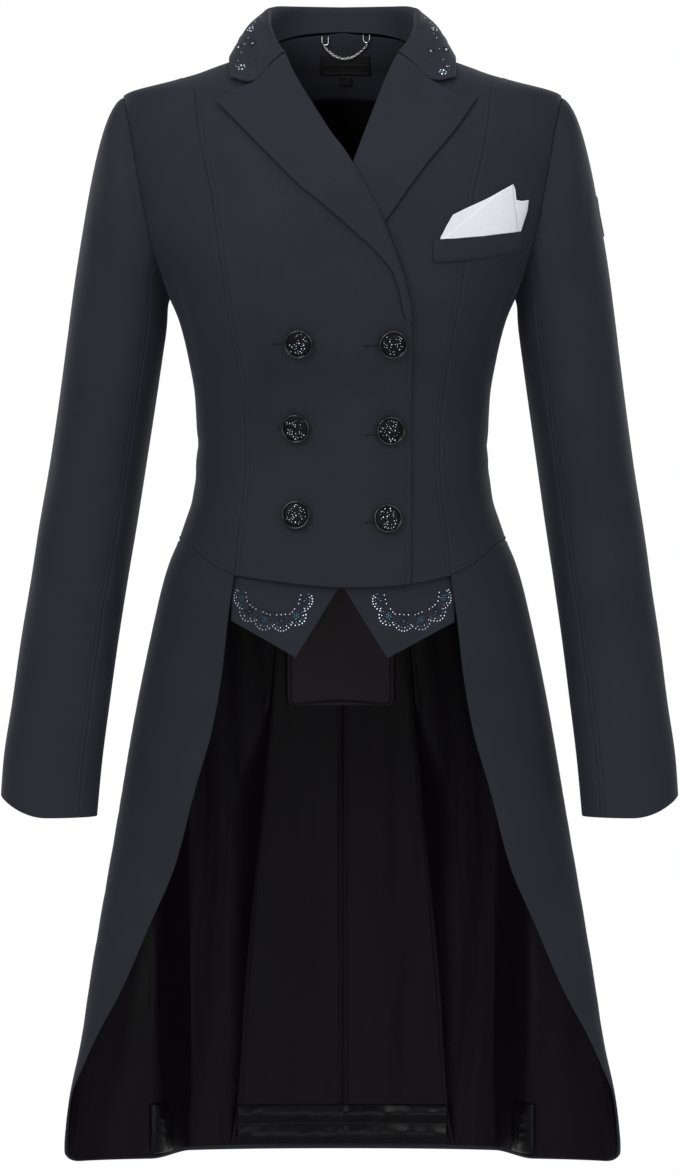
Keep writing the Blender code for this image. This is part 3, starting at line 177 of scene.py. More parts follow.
# ------------------------------------------------------------------ creases, listed one by one
CREASES = [  # phi0,  z0,     phi1,   z1,    width,  depth  (signed phi: wearer's left is positive)
    # pull from the underarm down the side front, and the give at the waist
    (63.0, -0.150, 70.0, -0.262, 0.0130, -0.0016), (58.0, -0.205, 66.0, -0.300, 0.0100, 0.0008),
    (-64.0, -0.160, -71.0, -0.270, 0.0120, -0.0017), (-57.0, -0.212, -64.0, -0.290, 0.0110, 0.0008),
    (72.0, -0.338, 108.0, -0.352, 0.0075, -0.0013), (66.0, -0.372, 100.0, -0.362, 0.0085, -0.0010),
    (-70.0, -0.345, -112.0, -0.336, 0.0080, -0.0014), (-64.0, -0.380, -96.0, -0.371, 0.0070, -0.0009),
    (30.0, -0.300, 52.0, -0.318, 0.0120, 0.0005), (-26.0, -0.292, -50.0, -0.310, 0.0130, 0.0005),
    # chest, from the lapel's foot out to the side
    (24.0, -0.252, 50.0, -0.236, 0.0140, -0.0007), (-28.0, -0.246, -52.0, -0.232, 0.0130, -0.0008),
    # upper back and shoulder blades
    (118.0, -0.085, 130.0, -0.205, 0.0160, -0.0026), (136.0, -0.120, 144.0, -0.240, 0.0140, 0.0012),
    (-116.0, -0.095, -131.0, -0.215, 0.0150, -0.0028), (-138.0, -0.110, -146.0, -0.226, 0.0150, 0.0012),
    (150.0, -0.052, 180.0, -0.060, 0.0130, -0.0010), (-152.0, -0.055, -180.0, -0.060, 0.0130, -0.0010),
    # small of the back
    (112.0, -0.318, 160.0, -0.345, 0.0085, -0.0019), (120.0, -0.352, 172.0, -0.362, 0.0075, -0.0015),
    (108.0, -0.384, 150.0, -0.376, 0.0085, -0.0013), (-110.0, -0.325, -158.0, -0.338, 0.0080, -0.0018),
    (-124.0, -0.358, -176.0, -0.356, 0.0080, -0.0015), (-106.0, -0.392, -146.0, -0.381, 0.0075, -0.0012),
    (140.0, -0.290, 176.0, -0.312, 0.0110, -0.0011), (-144.0, -0.284, -177.0, -0.306, 0.0100, -0.0012),
    # tails, soft flutes that open from the waist down
    (82.0, -0.500, 76.0, -0.820, 0.0240, 0.0014), (100.0, -0.520, 98.0, -0.900, 0.0220, -0.0012),
    (-84.0, -0.520, -77.0, -0.840, 0.0250, 0.0014), (-103.0, -0.500, -99.0, -0.880, 0.0210, -0.0012),
    (118.0, -0.470, 112.0, -0.760, 0.0180, 0.00055), (-120.0, -0.480, -113.0, -0.790, 0.0190, 0.00055),
    (134.0, -0.500, 126.0, -0.965, 0.0160, -0.00076), (-133.0, -0.520, -126.0, -0.965, 0.0170, -0.00076),
    (147.0, -0.560, 141.0, -0.968, 0.0170, 0.00068), (-148.0, -0.540, -142.0, -0.968, 0.0160, 0.00060),
    (166.0, -0.600, 163.0, -0.975, 0.0180, 0.0012), (-165.0, -0.620, -163.0, -0.975, 0.0190, 0.0013),
    (158.0, -0.640, 154.0, -0.970, 0.0110, -0.0009), (-157.0, -0.660, -154.0, -0.970, 0.0120, -0.0009)]


def creases(phi, z):
    """Sum of the soft troughs and ridges at signed phi, z."""
    phi, z = np.broadcast_arrays(np.asarray(phi, float), np.asarray(z, float))
    out = np.zeros(phi.shape)
    k = math.radians(1) * 0.155
    for p0, z0, p1, z1, w, dep in CREASES:
        dx, dz = (p1 - p0) * k, z1 - z0
        L = math.hypot(dx, dz)
        ax, az = (phi - p0) * k, z - z0
        t = (ax * dx + az * dz) / L**2
        wander = 0.18 * w * np.sin(t * 7.0 + p0)
        off = (ax * dz - az * dx) / L + wander
        end = smooth(-0.12, 0.30, t) * (1 - smooth(0.70, 1.12, t))
        out += dep * end * np.exp(-(off / w) ** 2)
    # nothing moves at the neck seam
    return out * (1 - smooth(-0.030, -0.005, z))


LIFT_FRONT, LIFT_LAPEL = 0.0028, 0.0036


def lift(x, z):
    edge = rollX[1](z)
    return smooth(edge - 0.034, edge - 0.010, x) * (LIFT_FRONT + LIFT_LAPEL * smooth(-0.300, -0.262, z))


def place(G, side, h=0.0, crease=1.0):
    """Points and normals of a (phi, z) grid, moved out by h; h may be a function of x, z."""
    phi, z = G[..., 0], G[..., 1]
    p, n = body(phi, z), normal(phi, z)
    if side < 0:
        p, n = p * (-1, 1, 1), n * (-1, 1, 1)
    k = h(p[..., 0], p[..., 2]) if callable(h) else h
    off = k + crease * creases(side * phi, z)
    return p + n * np.asarray(off)[..., None], n


def surf(x, z, off=0.0, back=False):
    """Point and normal on the coat at x, z, in front or behind."""
    x, z = np.broadcast_arrays(np.asarray(x, float), np.asarray(z, float))
    ph = phi_of(np.abs(x), z, back)
    p, n = body(ph, z), normal(ph, z)
    s = np.where(x < 0, -1.0, 1.0)
    m = np.stack([s, np.ones_like(s), np.ones_like(s)], -1)
    p, n = p * m, n * m
    return p + n * (off + creases(s * ph, z))[..., None], n


# ------------------------------------------------------------------ grids with fine bands at their edges
BAND = [0.0, 0.00022, 0.0005, 0.0009, 0.0015, 0.0024, 0.0033, 0.0039, 0.0044, 0.0049, 0.0056, 0.0070, 0.0092]


def params(width, n_mid, lo=True, hi=True):
    a = [b / width for b in BAND] if lo else [0.0]
    b = [1 - v / width for v in BAND][::-1] if hi else [1.0]
    mid = list(np.linspace(a[-1], b[0], n_mid + 2))[1:-1]
    return np.array(a + mid + b)


def coons(B, T, L, R, u, v):
    """Transfinite patch in (phi, z) at arrays u (across) and v (up)."""
    b, t, l, r = B(u), T(u), L(v), R(v)
    b0, b1, t0, t1 = B(np.array([0.0]))[0], B(np.array([1.0]))[0], T(np.array([0.0]))[0], T(np.array([1.0]))[0]
    U, V = u[None, :, None], v[:, None, None]
    return ((1 - V) * b[None] + V * t[None] + (1 - U) * l[:, None] + U * r[:, None]
            - (1 - U) * (1 - V) * b0 - U * (1 - V) * b1 - (1 - U) * V * t0 - U * V * t1)


def pair(p, z):
    p, z = np.broadcast_arrays(np.asarray(p, float), np.asarray(z, float))
    return np.stack([p, z], -1)


def lin(a, b, t):
    return a + (b - a) * t


def crowd(a, b, t):
    return a + (b - a) * (1 - (1 - t) ** 1.32)


def z_up(t, low, top):
    return np.where(t <= N_SIDE, lin(low, CHEST, t / N_SIDE), crowd(CHEST, top, np.clip((t - N_SIDE) / N_ARM, 0, 1)))


def s_front_princess(v):
    z = z_up(v * (N_SIDE + N_ARM), -0.4580, -0.0185)
    p = phi_of(frontPrincess(z), z)
    return pair(p + (90 - p) * smooth(-0.0240, -0.0187, z), z)


def s_back_princess(v):
    z = z_up(v * (N_SIDE + N_ARM), -0.4180, -0.0185)
    p = phi_of(backPrincess(z), z, True)
    return pair(p + (90 - p) * smooth(-0.0240, -0.0187, z), z)


def s_arm(t, back):
    h = -0.0370 - CHEST
    z = CHEST + h * (1 - np.cos(np.pi * t)) / 2 * 0.45 + h * t * 0.55
    f = armBack if back else armFront
    p = phi_of(f(z), z, back)
    ends = np.maximum(1 - smooth(0, 0.04, t), smooth(0.96, 1.0, t))
    return pair(p + (90 - p) * ends, z)


def s_side(v, back):
    t = v * (N_SIDE + N_ARM)
    low = pair(90.0, lin(-0.4265, CHEST, t / N_SIDE))
    return np.where((t <= N_SIDE)[:, None], low, s_arm(np.clip((t - N_SIDE) / N_ARM, 0, 1), back))


PHI_WF = float(phi_of(0.0940, -0.4580))
PHI_WB = float(phi_of(0.0560, -0.4180, True))


def s_waist_front(u):
    p = lin(PHI_WF, 90.0, u)
    return pair(p, waistZ(46.0 + (p - PHI_WF) * 44.0 / (90 - PHI_WF)))


def s_waist_back(u):
    p = lin(90.0, PHI_WB, u)
    return pair(p, waistZ(90 + (p - 90) * 62.0 / (PHI_WB - 90)))


def grid_side_front(u, v):
    return coons(s_waist_front, lambda u: pair(90.0, lin(-0.0185, -0.0370, u)), s_front_princess,
                 lambda v: s_side(v, False), u, v)


def grid_side_back(u, v):
    return coons(s_waist_back, lambda u: pair(90.0, lin(-0.0370, -0.0185, u)),
                 lambda v: s_side(v, True), s_back_princess, u, v)


N_BACK = N_TAIL + N_SIDE + N_ARM


def z_back(t, top):
    return np.where(t <= N_TAIL, lin(HEM_Z, -0.4180, t / N_TAIL), z_up(t - N_TAIL, -0.4180, top))


def s_back_left(v):
    z = z_back(v * N_BACK, -0.0185)
    p = phi_of(backPrincess(z), z, True)
    return pair(p + (90 - p) * smooth(-0.0240, -0.0187, z), z)


PHI_B0 = float(phi_of(0.1030, HEM_Z, True))


def s_neck_top(u):
    t = u * 6
    p = np.where(t <= 1, 90.0, lin(90.0, 180.0, (t - 1) / 5))
    return pair(p, np.where(t <= 1, lin(-0.0185, -0.0020, t), necklineZ(p)))


def grid_back(u, v):
    return coons(lambda u: pair(lin(PHI_B0, 180.0, u), HEM_Z), s_neck_top, s_back_left,
                 lambda v: pair(180.0, z_back(v * N_BACK, 0.0260)), u, v)


STATION = pchip([(0, 0.2440), (1, 0.2330), (2, 0.2080), (3, 0.1760), (4, 0.1650), (5, 0.1560), (6, 0.1480),
                 (7, 0.1390), (8, 0.1220), (9, 0.1030)], 1)
PHI_S1 = float(phi_of(0.2330, HEM_Z, True))
_hemL = [(-0.5, 91.5, -0.9560), (0, 94.5, -0.9680), (1, PHI_S1, HEM_Z), (2, float(phi_of(0.2080, HEM_Z, True)), HEM_Z)]
_edge = [(-1.0, PHI_S1, HEM_Z), (0, 94.5, -0.9680), (0.5, 91.5, -0.9560), (1.0, 89.5, -0.9360)]
for _k in range(2, 10):
    _z = lin(-0.9080, -0.4580, (_k - 2) / 7)
    _edge.append((_k, float(phi_of(tailEdge(_z), _z)), _z))
hemP, hemZ, edgeP, edgeZ = pchip(_hemL, 1), pchip(_hemL, 2), pchip(_edge, 1), pchip(_edge, 2)


def s_hem_tail(u):
    t = u * 9
    return np.where((t < 1)[:, None], pair(hemP(t), hemZ(t)), pair(phi_of(STATION(t), HEM_Z, True), HEM_Z))


def s_tail_edge(v):
    t = v * 9
    z = edgeZ(t)
    p = np.where(t <= 2, edgeP(t), phi_of(tailEdge(z), z))
    return pair(p, z)


def s_waist_all(u):
    t = u * 9
    return np.where((t <= 4)[:, None], s_waist_front(np.clip(t / 4, 0, 1)), s_waist_back(np.clip((t - 4) / 5, 0, 1)))


def s_back_tail(v):
    z = lin(HEM_Z, -0.4180, v)
    return pair(phi_of(backPrincess(z), z, True), z)


def grid_skirt(u, v):
    def raw(u):
        return coons(s_hem_tail, s_waist_all, s_tail_edge, s_back_tail, u, v)
    G = raw(u)
    t = u * 9
    z = G[..., 1]
    w = smooth(-0.555, -0.68, z)
    straight = phi_of(np.broadcast_to(STATION(t), z.shape), z, True)
    G3 = raw(np.array([3 / 9.0]))[:, 0]
    w3 = smooth(-0.555, -0.68, G3[:, 1])
    p3 = (1 - w3) * G3[:, 0] + w3 * phi_of(0.1760, G3[:, 1], True)
    even = G[:, :1, 0] + (p3[:, None] - G[:, :1, 0]) * t[None] / 3
    inner = (t > 0) & (t < 9)
    new = np.where((t >= 3)[None], straight, even)
    ramp = np.where(v > 0, 1.0, 0.0)[:, None]
    G[..., 0] = np.where(inner[None], (1 - w * ramp) * G[..., 0] + w * ramp * new, G[..., 0])
    return G


def grid_front(side, u, v):
    f = rollX[side]

    def ph(x, z):
        return phi_of(x * side, z)
    low_x = FRONT_EDGE_LEFT if side > 0 else FRONT_EDGE_RIGHT
    z0 = float(frontHemZ(low_x))
    e = float(ph(f(-0.0054), -0.0054))

    def left(v):
        t = v * 15
        z = np.where(t <= 6, lin(z0, CHEST, t / 6), lin(CHEST, -0.0054, (t - 6) / 7))
        p = ph(f(z), z)
        p = np.where(t > 13, lin(e, (e + 90) / 2, t - 13), p)
        z = np.where(t > 13, lin(-0.0054, -0.0040, t - 13), z)
        p = np.where(t > 14, lin((e + 90) / 2, 90.0, t - 14), p)
        z = np.where(t > 14, lin(-0.0040, -0.0020, t - 14), z)
        return pair(p, z)

    def bottom(u):
        x = lin(low_x, 0.0940 * side, u)
        z = frontHemZ(x)
        return pair(ph(x, z), z)
    return coons(bottom, lambda u: pair(90.0, lin(-0.0020, -0.0185, u)), left, s_front_princess, u, v)


# ------------------------------------------------------------------ meshes
def make_mesh(name, V, Q, uv=None, smooth_it=True):
    V, Q = np.asarray(V, float), np.asarray(Q)
    a, b, c = V[Q[:, 0]], V[Q[:, 1]], V[Q[:, 2]]
    vol = np.einsum("ij,ij->i", a, np.cross(b, c)).sum()
    if Q.shape[1] == 4:
        vol += np.einsum("ij,ij->i", a, np.cross(c, V[Q[:, 3]])).sum()
    if vol < 0:
        Q = Q[:, ::-1]
    me = bpy.data.meshes.new(name)
    me.vertices.add(len(V))
    me.vertices.foreach_set("co", V.astype(np.float32).ravel())
    me.loops.add(Q.size)
    me.loops.foreach_set("vertex_index", np.ascontiguousarray(Q, np.int32).ravel())
    me.polygons.add(len(Q))
    me.polygons.foreach_set("loop_start", np.arange(0, Q.size, Q.shape[1], dtype=np.int32))
    me.polygons.foreach_set("use_smooth", np.full(len(Q), smooth_it))
    if uv is not None:
        layer = me.uv_layers.new(name="UVMap")
        layer.data.foreach_set("uv", uv[Q.ravel()].astype(np.float32).ravel())
    me.update(calc_edges=True)
    me.validate()
    ob = bpy.data.objects.new(name, me)
    bpy.context.scene.collection.objects.link(ob)
    return ob


def grid_quads(nr, nc, start=0):
    j, i = np.meshgrid(np.arange(nr - 1), np.arange(nc - 1), indexing="ij")
    a = (start + j * nc + i).ravel()
    return np.stack([a, a + 1, a + nc + 1, a + nc], 1)


def run(P, axis):
    """Distance along each row or column of a grid from its start, and the whole length."""
    d = np.linalg.norm(np.diff(P, axis=axis), axis=-1)
    s = np.concatenate([np.zeros_like(np.take(d, [0], axis)), np.cumsum(d, axis)], axis)
    return s, np.take(s, [-1], axis)


def edge_profile(kind, s, thick):
    """Offsets of the outer and inner faces at distance s from an edge."""
    s = np.asarray(s, float)
    out, inn = np.zeros_like(s), np.zeros_like(s)
    if kind in ("free", "free_st"):
        r = thick * 0.5
        k = np.clip((r - s) / r, 0, 1)
        drop = r * (1 - np.sqrt(np.maximum(1 - k * k, 0))) * 0.92
        out, inn = out - drop, inn + drop
    if kind in ("seam", "seam_st"):
        out = out - 0.00085 * np.exp(-(s / 0.0010) ** 2) + 0.00022 * np.exp(-((s - 0.0026) / 0.0013) ** 2)
    if kind == "soft":
        out = out - 0.00045 * np.exp(-(s / 0.0010) ** 2)
    if kind == "satin":
        out = out + 0.0
        inn = inn + 0.00046 * np.exp(-(s / 0.0011) ** 2) - 0.00030 * np.exp(-((s - 0.0022) / 0.0009) ** 2) + 0.00040 * np.exp(-((s - 0.0044) / 0.0007) ** 2)
    if kind in ("free_st", "seam_st"):
        out = out - 0.00042 * np.exp(-((s - 0.0045) / 0.00060) ** 2) + 0.00028 * np.exp(-((s - 0.0024) / 0.0013) ** 2)
    return out, inn


PIECES = []
SHEETS = []


def shell(name, P, N, thick, kinds, gap=0.00004):
    """A closed thin shell: outer face P, normals N. kinds: profile names for edges l r b t."""
    P = P.copy()
    nr, nc = P.shape[:2]
    sl, wl = run(P, 1)
    sb, wb = run(P, 0)
    dist = {"l": sl, "r": wl - sl, "b": sb, "t": wb - sb}
    out, inn = np.zeros((nr, nc)), np.zeros((nr, nc))
    for e, kind in zip("lrbt", kinds):
        if kind:
            o, i = edge_profile(kind, dist[e], thick)
            if kind.startswith("free"):
                out, inn = np.minimum(out, o) if kind == "free" else out + o, np.maximum(inn, i)
            else:
                out, inn = out + o, inn + i
    out = np.maximum(out, -thick * 0.62)
    O = P + N * out[..., None]
    I = P - N * thick + N * np.minimum(inn, thick * 0.46)[..., None]
    n = nr * nc
    V = np.concatenate([O.reshape(-1, 3), I.reshape(-1, 3)])
    Q1 = grid_quads(nr, nc)
    Q2 = grid_quads(nr, nc, n)[:, ::-1]
    ring = [(0, i) for i in range(nc - 1)] + [(j, nc - 1) for j in range(nr - 1)] + \
           [(nr - 1, i) for i in range(nc - 1, 0, -1)] + [(j, 0) for j in range(nr - 1, 0, -1)]
    k = np.array([j * nc + i for j, i in ring])
    k2 = np.roll(k, -1)
    Q3 = np.stack([k2, k, n + k, n + k2], 1)
    uv = np.stack([sl - wl / 2, sb], -1).reshape(-1, 2)
    ob = make_mesh(name, V, np.concatenate([Q1, Q2, Q3]), np.concatenate([uv, uv]))
    a = P[:-1, :-1]
    area = (np.linalg.norm(np.cross(P[:-1, 1:] - a, P[1:, :-1] - a), axis=-1).sum()
            + np.linalg.norm(np.cross(P[:-1, 1:] - P[1:, 1:], P[1:, :-1] - P[1:, 1:]), axis=-1).sum()) / 2
    width, length = float(wl.max()), float(wb.max())
    SHEETS.append((ob, width, length, float(min(area, width * length))))
    PIECES.append(ob)
    return ob


def grid_normals(P, like):
    """Normals of a grid of points, turned to agree with the vectors like."""
    a = np.gradient(P, axis=0)
    b = np.gradient(P, axis=1)
    n = unit(np.cross(a, b))
    s = np.sign(np.einsum("...i,...i->...", n, like))
    s[s == 0] = 1
    return n * s[..., None]


# ------------------------------------------------------------------ materials
def nodes_of(name):
    m = bpy.data.materials.new(name)
    m.use_nodes = True
    nt = m.node_tree
    return m, nt, nt.nodes["Principled BSDF"]


def add_node(nt, kind, **values):
    n = nt.nodes.new(kind)
    for k, v in values.items():
        if k.startswith("_"):
            setattr(n, k[1:], v)
        else:
            n.inputs[k.replace("__", " ")].default_value = v
    return n


def cloth_material(name, rgb, rough=0.8, sheen=0.05, weave=0.00055, bump=0.16, mottled=0.10, ribs=None, spec=0.20):
    m, nt, b = nodes_of(name)
    tc = nt.nodes.new("ShaderNodeTexCoord")
    big = add_node(nt, "ShaderNodeTexNoise", Scale=14.0, Detail=3.0, Roughness=0.55)
    fine = add_node(nt, "ShaderNodeTexNoise", Scale=1.0 / weave, Detail=2.0, Roughness=0.6)
    nt.links.new(tc.outputs["Object"], big.inputs["Vector"])
    nt.links.new(tc.outputs["Object"], fine.inputs["Vector"])
    ramp = nt.nodes.new("ShaderNodeValToRGB")
    lo = [c * (1 - mottled) for c in rgb]
    hi = [c * (1 + mottled) for c in rgb]
    ramp.color_ramp.elements[0].position, ramp.color_ramp.elements[1].position = 0.32, 0.68
    ramp.color_ramp.elements[0].color = (*lo, 1)
    ramp.color_ramp.elements[1].color = (*hi, 1)
    nt.links.new(big.outputs["Fac"], ramp.inputs["Fac"])
    grain = add_node(nt, "ShaderNodeMapRange")
    grain.inputs["From Min"].default_value, grain.inputs["From Max"].default_value = 0.3, 0.7
    grain.inputs["To Min"].default_value, grain.inputs["To Max"].default_value = 0.86, 1.14
    nt.links.new(fine.outputs["Fac"], grain.inputs["Value"])
    mul = nt.nodes.new("ShaderNodeVectorMath")
    mul.operation = "SCALE"
    nt.links.new(ramp.outputs["Color"], mul.inputs[0])
    nt.links.new(grain.outputs["Result"], mul.inputs["Scale"])
    nt.links.new(mul.outputs["Vector"], b.inputs["Base Color"])
    b.inputs["Roughness"].default_value = rough
    b.inputs["Specular IOR Level"].default_value = spec
    b.inputs["Sheen Weight"].default_value = sheen
    b.inputs["Sheen Roughness"].default_value = 0.45
    b.inputs["Sheen Tint"].default_value = (0.75, 0.78, 1.0, 1)
    uvn = nt.nodes.new("ShaderNodeUVMap")
    uvn.uv_map = "UVMap"
    w1 = add_node(nt, "ShaderNodeTexWave", Scale=1.0 / (weave * 2.4) / 20, Distortion=1.2, Detail=1.0)
    w1.wave_type, w1.bands_direction = "BANDS", "DIAGONAL"
    sc = nt.nodes.new("ShaderNodeVectorMath")
    sc.operation = "SCALE"
    sc.inputs["Scale"].default_value = 20.0
    nt.links.new(uvn.outputs["UV"], sc.inputs[0])
    nt.links.new(sc.outputs["Vector"], w1.inputs["Vector"])
    mix = nt.nodes.new("ShaderNodeMath")
    mix.operation = "MULTIPLY_ADD"
    nt.links.new(w1.outputs["Fac"], mix.inputs[0])
    mix.inputs[1].default_value = 0.35
    nt.links.new(fine.outputs["Fac"], mix.inputs[2])
    bp = add_node(nt, "ShaderNodeBump", Strength=bump, Distance=0.0005)
    nt.links.new(mix.outputs["Value"], bp.inputs["Height"])
    nt.links.new(bp.outputs["Normal"], b.inputs["Normal"])
    return m


def satin_material(name, rgb, rough=0.36, wrinkle=0.30, spec=0.5, scale=16.0, stretch=(1.0, 1.0, 0.35)):
    m, nt, b = nodes_of(name)
    tc = nt.nodes.new("ShaderNodeTexCoord")
    mp = nt.nodes.new("ShaderNodeMapping")
    mp.inputs["Scale"].default_value = stretch
    nt.links.new(tc.outputs["Object"], mp.inputs["Vector"])
    big = add_node(nt, "ShaderNodeTexNoise", Scale=scale, Detail=4.0, Roughness=0.55)
    nt.links.new(mp.outputs["Vector"], big.inputs["Vector"])
    fine = add_node(nt, "ShaderNodeTexNoise", Scale=1100.0, Detail=2.0, Roughness=0.6)
    nt.links.new(tc.outputs["Object"], fine.inputs["Vector"])
    # the colour follows the same noise as the wrinkle bump below: lighter on the wrinkle ridges, darker in their
    # hollows, a painted sheen and painted shade
    ramp = nt.nodes.new("ShaderNodeValToRGB")
    ramp.color_ramp.elements[0].position, ramp.color_ramp.elements[1].position = 0.30, 0.72
    ramp.color_ramp.elements[0].color = (*[c * 0.82 for c in rgb], 1)
    ramp.color_ramp.elements[1].color = (*[c * 1.22 for c in rgb], 1)
    nt.links.new(big.outputs["Fac"], ramp.inputs["Fac"])
    nt.links.new(ramp.outputs["Color"], b.inputs["Base Color"])
    rr = add_node(nt, "ShaderNodeMapRange")
    rr.inputs["From Min"].default_value, rr.inputs["From Max"].default_value = 0.3, 0.7
    rr.inputs["To Min"].default_value, rr.inputs["To Max"].default_value = rough - 0.05, rough + 0.08
    nt.links.new(big.outputs["Fac"], rr.inputs["Value"])
    nt.links.new(rr.outputs["Result"], b.inputs["Roughness"])
    b.inputs["Specular IOR Level"].default_value = spec
    b1 = add_node(nt, "ShaderNodeBump", Strength=wrinkle, Distance=0.006)
    b2 = add_node(nt, "ShaderNodeBump", Strength=0.10, Distance=0.0004)
    nt.links.new(big.outputs["Fac"], b1.inputs["Height"])
    nt.links.new(fine.outputs["Fac"], b2.inputs["Height"])
    nt.links.new(b1.outputs["Normal"], b2.inputs["Normal"])
    nt.links.new(b2.outputs["Normal"], b.inputs["Normal"])
    return m


def hard_material(name, rgb, rough, metal=0.0, coat=0.0, grain=600.0, bump=0.04, vary=0.08, spec=0.5):
    m, nt, b = nodes_of(name)
    tc = nt.nodes.new("ShaderNodeTexCoord")
    n = add_node(nt, "ShaderNodeTexNoise", Scale=grain, Detail=2.0)
    nt.links.new(tc.outputs["Object"], n.inputs["Vector"])
    ramp = nt.nodes.new("ShaderNodeValToRGB")
    ramp.color_ramp.elements[0].color = (*[c * (1 - vary) for c in rgb], 1)
    ramp.color_ramp.elements[1].color = (*[min(c * (1 + vary), 1) for c in rgb], 1)
    nt.links.new(n.outputs["Fac"], ramp.inputs["Fac"])
    nt.links.new(ramp.outputs["Color"], b.inputs["Base Color"])
    b.inputs["Roughness"].default_value = rough
    b.inputs["Metallic"].default_value = metal
    b.inputs["Specular IOR Level"].default_value = spec
    b.inputs["Coat Weight"].default_value = coat
    b.inputs["Coat Roughness"].default_value = 0.05
    bp = add_node(nt, "ShaderNodeBump", Strength=bump, Distance=0.0003)
    nt.links.new(n.outputs["Fac"], bp.inputs["Height"])
    nt.links.new(bp.outputs["Normal"], b.inputs["Normal"])
    return m


CLOTH_RGB = (0.0150, 0.0156, 0.0225)
M_CLOTH = cloth_material("shell_cloth_look", CLOTH_RGB)
# lapels, collar, pocket welt and waistcoat points: the shell cloth made 4% lighter, a painted highlight
M_CLOTH_PAINTED_HIGHLIGHT = cloth_material("lapel_cloth_painted_highlight_look", tuple(c * 1.04 for c in CLOTH_RGB), sheen=0.06)
M_FLAP = cloth_material("flap_cloth_look", (0.0115, 0.0085, 0.0108), rough=0.50, sheen=0.02, weave=0.0007, bump=0.30, mottled=0.16, spec=0.16)
M_LINING = satin_material("lining_satin_look", (0.0036, 0.0025, 0.0036), rough=0.42, wrinkle=0.14, spec=0.055)
M_CASING = satin_material("casing_satin_look", (0.0026, 0.0020, 0.0028), rough=0.26, wrinkle=0.05, scale=40.0, stretch=(1, 1, 1), spec=0.085)
M_WHITE = cloth_material("white_cloth_look", (0.70, 0.70, 0.73), rough=0.75, sheen=0.02, weave=0.0004, bump=0.10, mottled=0.02)
M_TAPE = cloth_material("label_tape_look", (0.0060, 0.0058, 0.0065), rough=0.55, sheen=0.0, weave=0.0004, bump=0.35, mottled=0.10)
M_THREAD = cloth_material("thread_look", (0.0190, 0.0195, 0.0280), rough=0.55, sheen=0.05, weave=0.0003, bump=0.20, mottled=0.05)
M_BUTTON = hard_material("button_look", (0.0020, 0.0020, 0.0026), 0.07, coat=0.15, bump=0.01, spec=0.45)
M_BUTTON_IN = hard_material("button_inside_look", (0.0022, 0.0022, 0.0030), 0.45, grain=2500.0, bump=0.3, spec=0.10)
M_CLEAR = hard_material("crystal_look", (0.62, 0.68, 0.76), 0.10, metal=0.9, bump=0.0, vary=0.15, grain=350.0)
M_TEAL = hard_material("teal_stone_look", (0.070, 0.160, 0.240), 0.12, metal=0.9, bump=0.0, vary=0.35, grain=350.0)
M_JET = hard_material("jet_stone_look", (0.014, 0.017, 0.030), 0.10, metal=0.7, bump=0.0, vary=0.3, grain=350.0)
M_CHAIN = hard_material("chain_look", (0.55, 0.55, 0.57), 0.18, metal=1.0, bump=0.03)
M_BADGE = hard_material("badge_look", (0.020, 0.020, 0.024), 0.42, bump=0.10, grain=1800.0)
M_BADGE_RIM = hard_material("badge_rim_look", (0.060, 0.060, 0.066), 0.38, bump=0.10, grain=1800.0)


def dress(ob, mat, node=None):
    ob.data.materials.clear()
    ob.data.materials.append(mat)
    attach(ob, "root")
    if node:
        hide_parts(node)
    return ob


# ------------------------------------------------------------------ bodice and tails
SIDES = (("left", 1), ("right", -1))
U_SF, U_SB = params(0.075, 12), params(0.105, 16)
V_SIDE = params(0.44, 84)
U_B, V_B = params(0.085, 14), params(0.98, 190)
U_SK, V_SK = params(0.26, 44), params(0.53, 104)
U_F = params(0.12, 22)

for name, s in SIDES:
    P, N = place(grid_side_front(U_SF, V_SIDE), s)
    dress(shell("side_front_cloth_" + name, P, N, WALL, ("seam", "seam", "seam_st", "seam")), M_CLOTH, "side_front_" + name)
    P, N = place(grid_side_back(U_SB, V_SIDE), s)
    dress(shell("side_back_cloth_" + name, P, N, WALL, ("seam", "seam", "seam_st", "seam")), M_CLOTH, "side_back_" + name)
    P, N = place(grid_back(U_B, V_B), s)
    dress(shell("back_cloth_" + name, P, N, WALL, ("seam_st", "seam", "free", "seam")), M_CLOTH, "back_" + name)
    P, N = place(grid_skirt(U_SK, V_SK), s)
    dress(shell("skirt_cloth_" + name, P, N, WALL, ("free", "seam", "free", "seam")), M_CLOTH, "skirt_" + name)
    P, N = place(grid_front(s, U_F, V_SIDE), s, lift if s < 0 else 0.0)
    dress(shell("front_cloth_" + name, P, N, WALL, ("free_st", "seam_st", "free", "seam")), M_CLOTH, "front_" + name)

# ------------------------------------------------------------------ lapels
NOTCH = {1: (0.0787, -0.0308), -1: (-0.0785, -0.0322)}
LAPEL_TOP = {1: [(0.0961, -0.0401), (0.1170, -0.0435)], -1: [(-0.0965, -0.0385), (-0.1092, -0.0480)]}
LAPEL_EDGE = {  # z, x from the peak down
    1: [(-0.0435, 0.1170), (-0.0693, 0.1003), (-0.1068, 0.0706), (-0.1551, 0.0364), (-0.2050, -0.0020),
        (-0.2430, -0.0330)],
    -1: [(-0.0480, -0.1092), (-0.0835, -0.0758), (-0.1300, -0.0305), (-0.1620, 0.0053),
         (-0.1827, 0.0278), (-0.2027, 0.0432), (-0.2430, 0.0530)]}
LAPEL_T = 0.0018


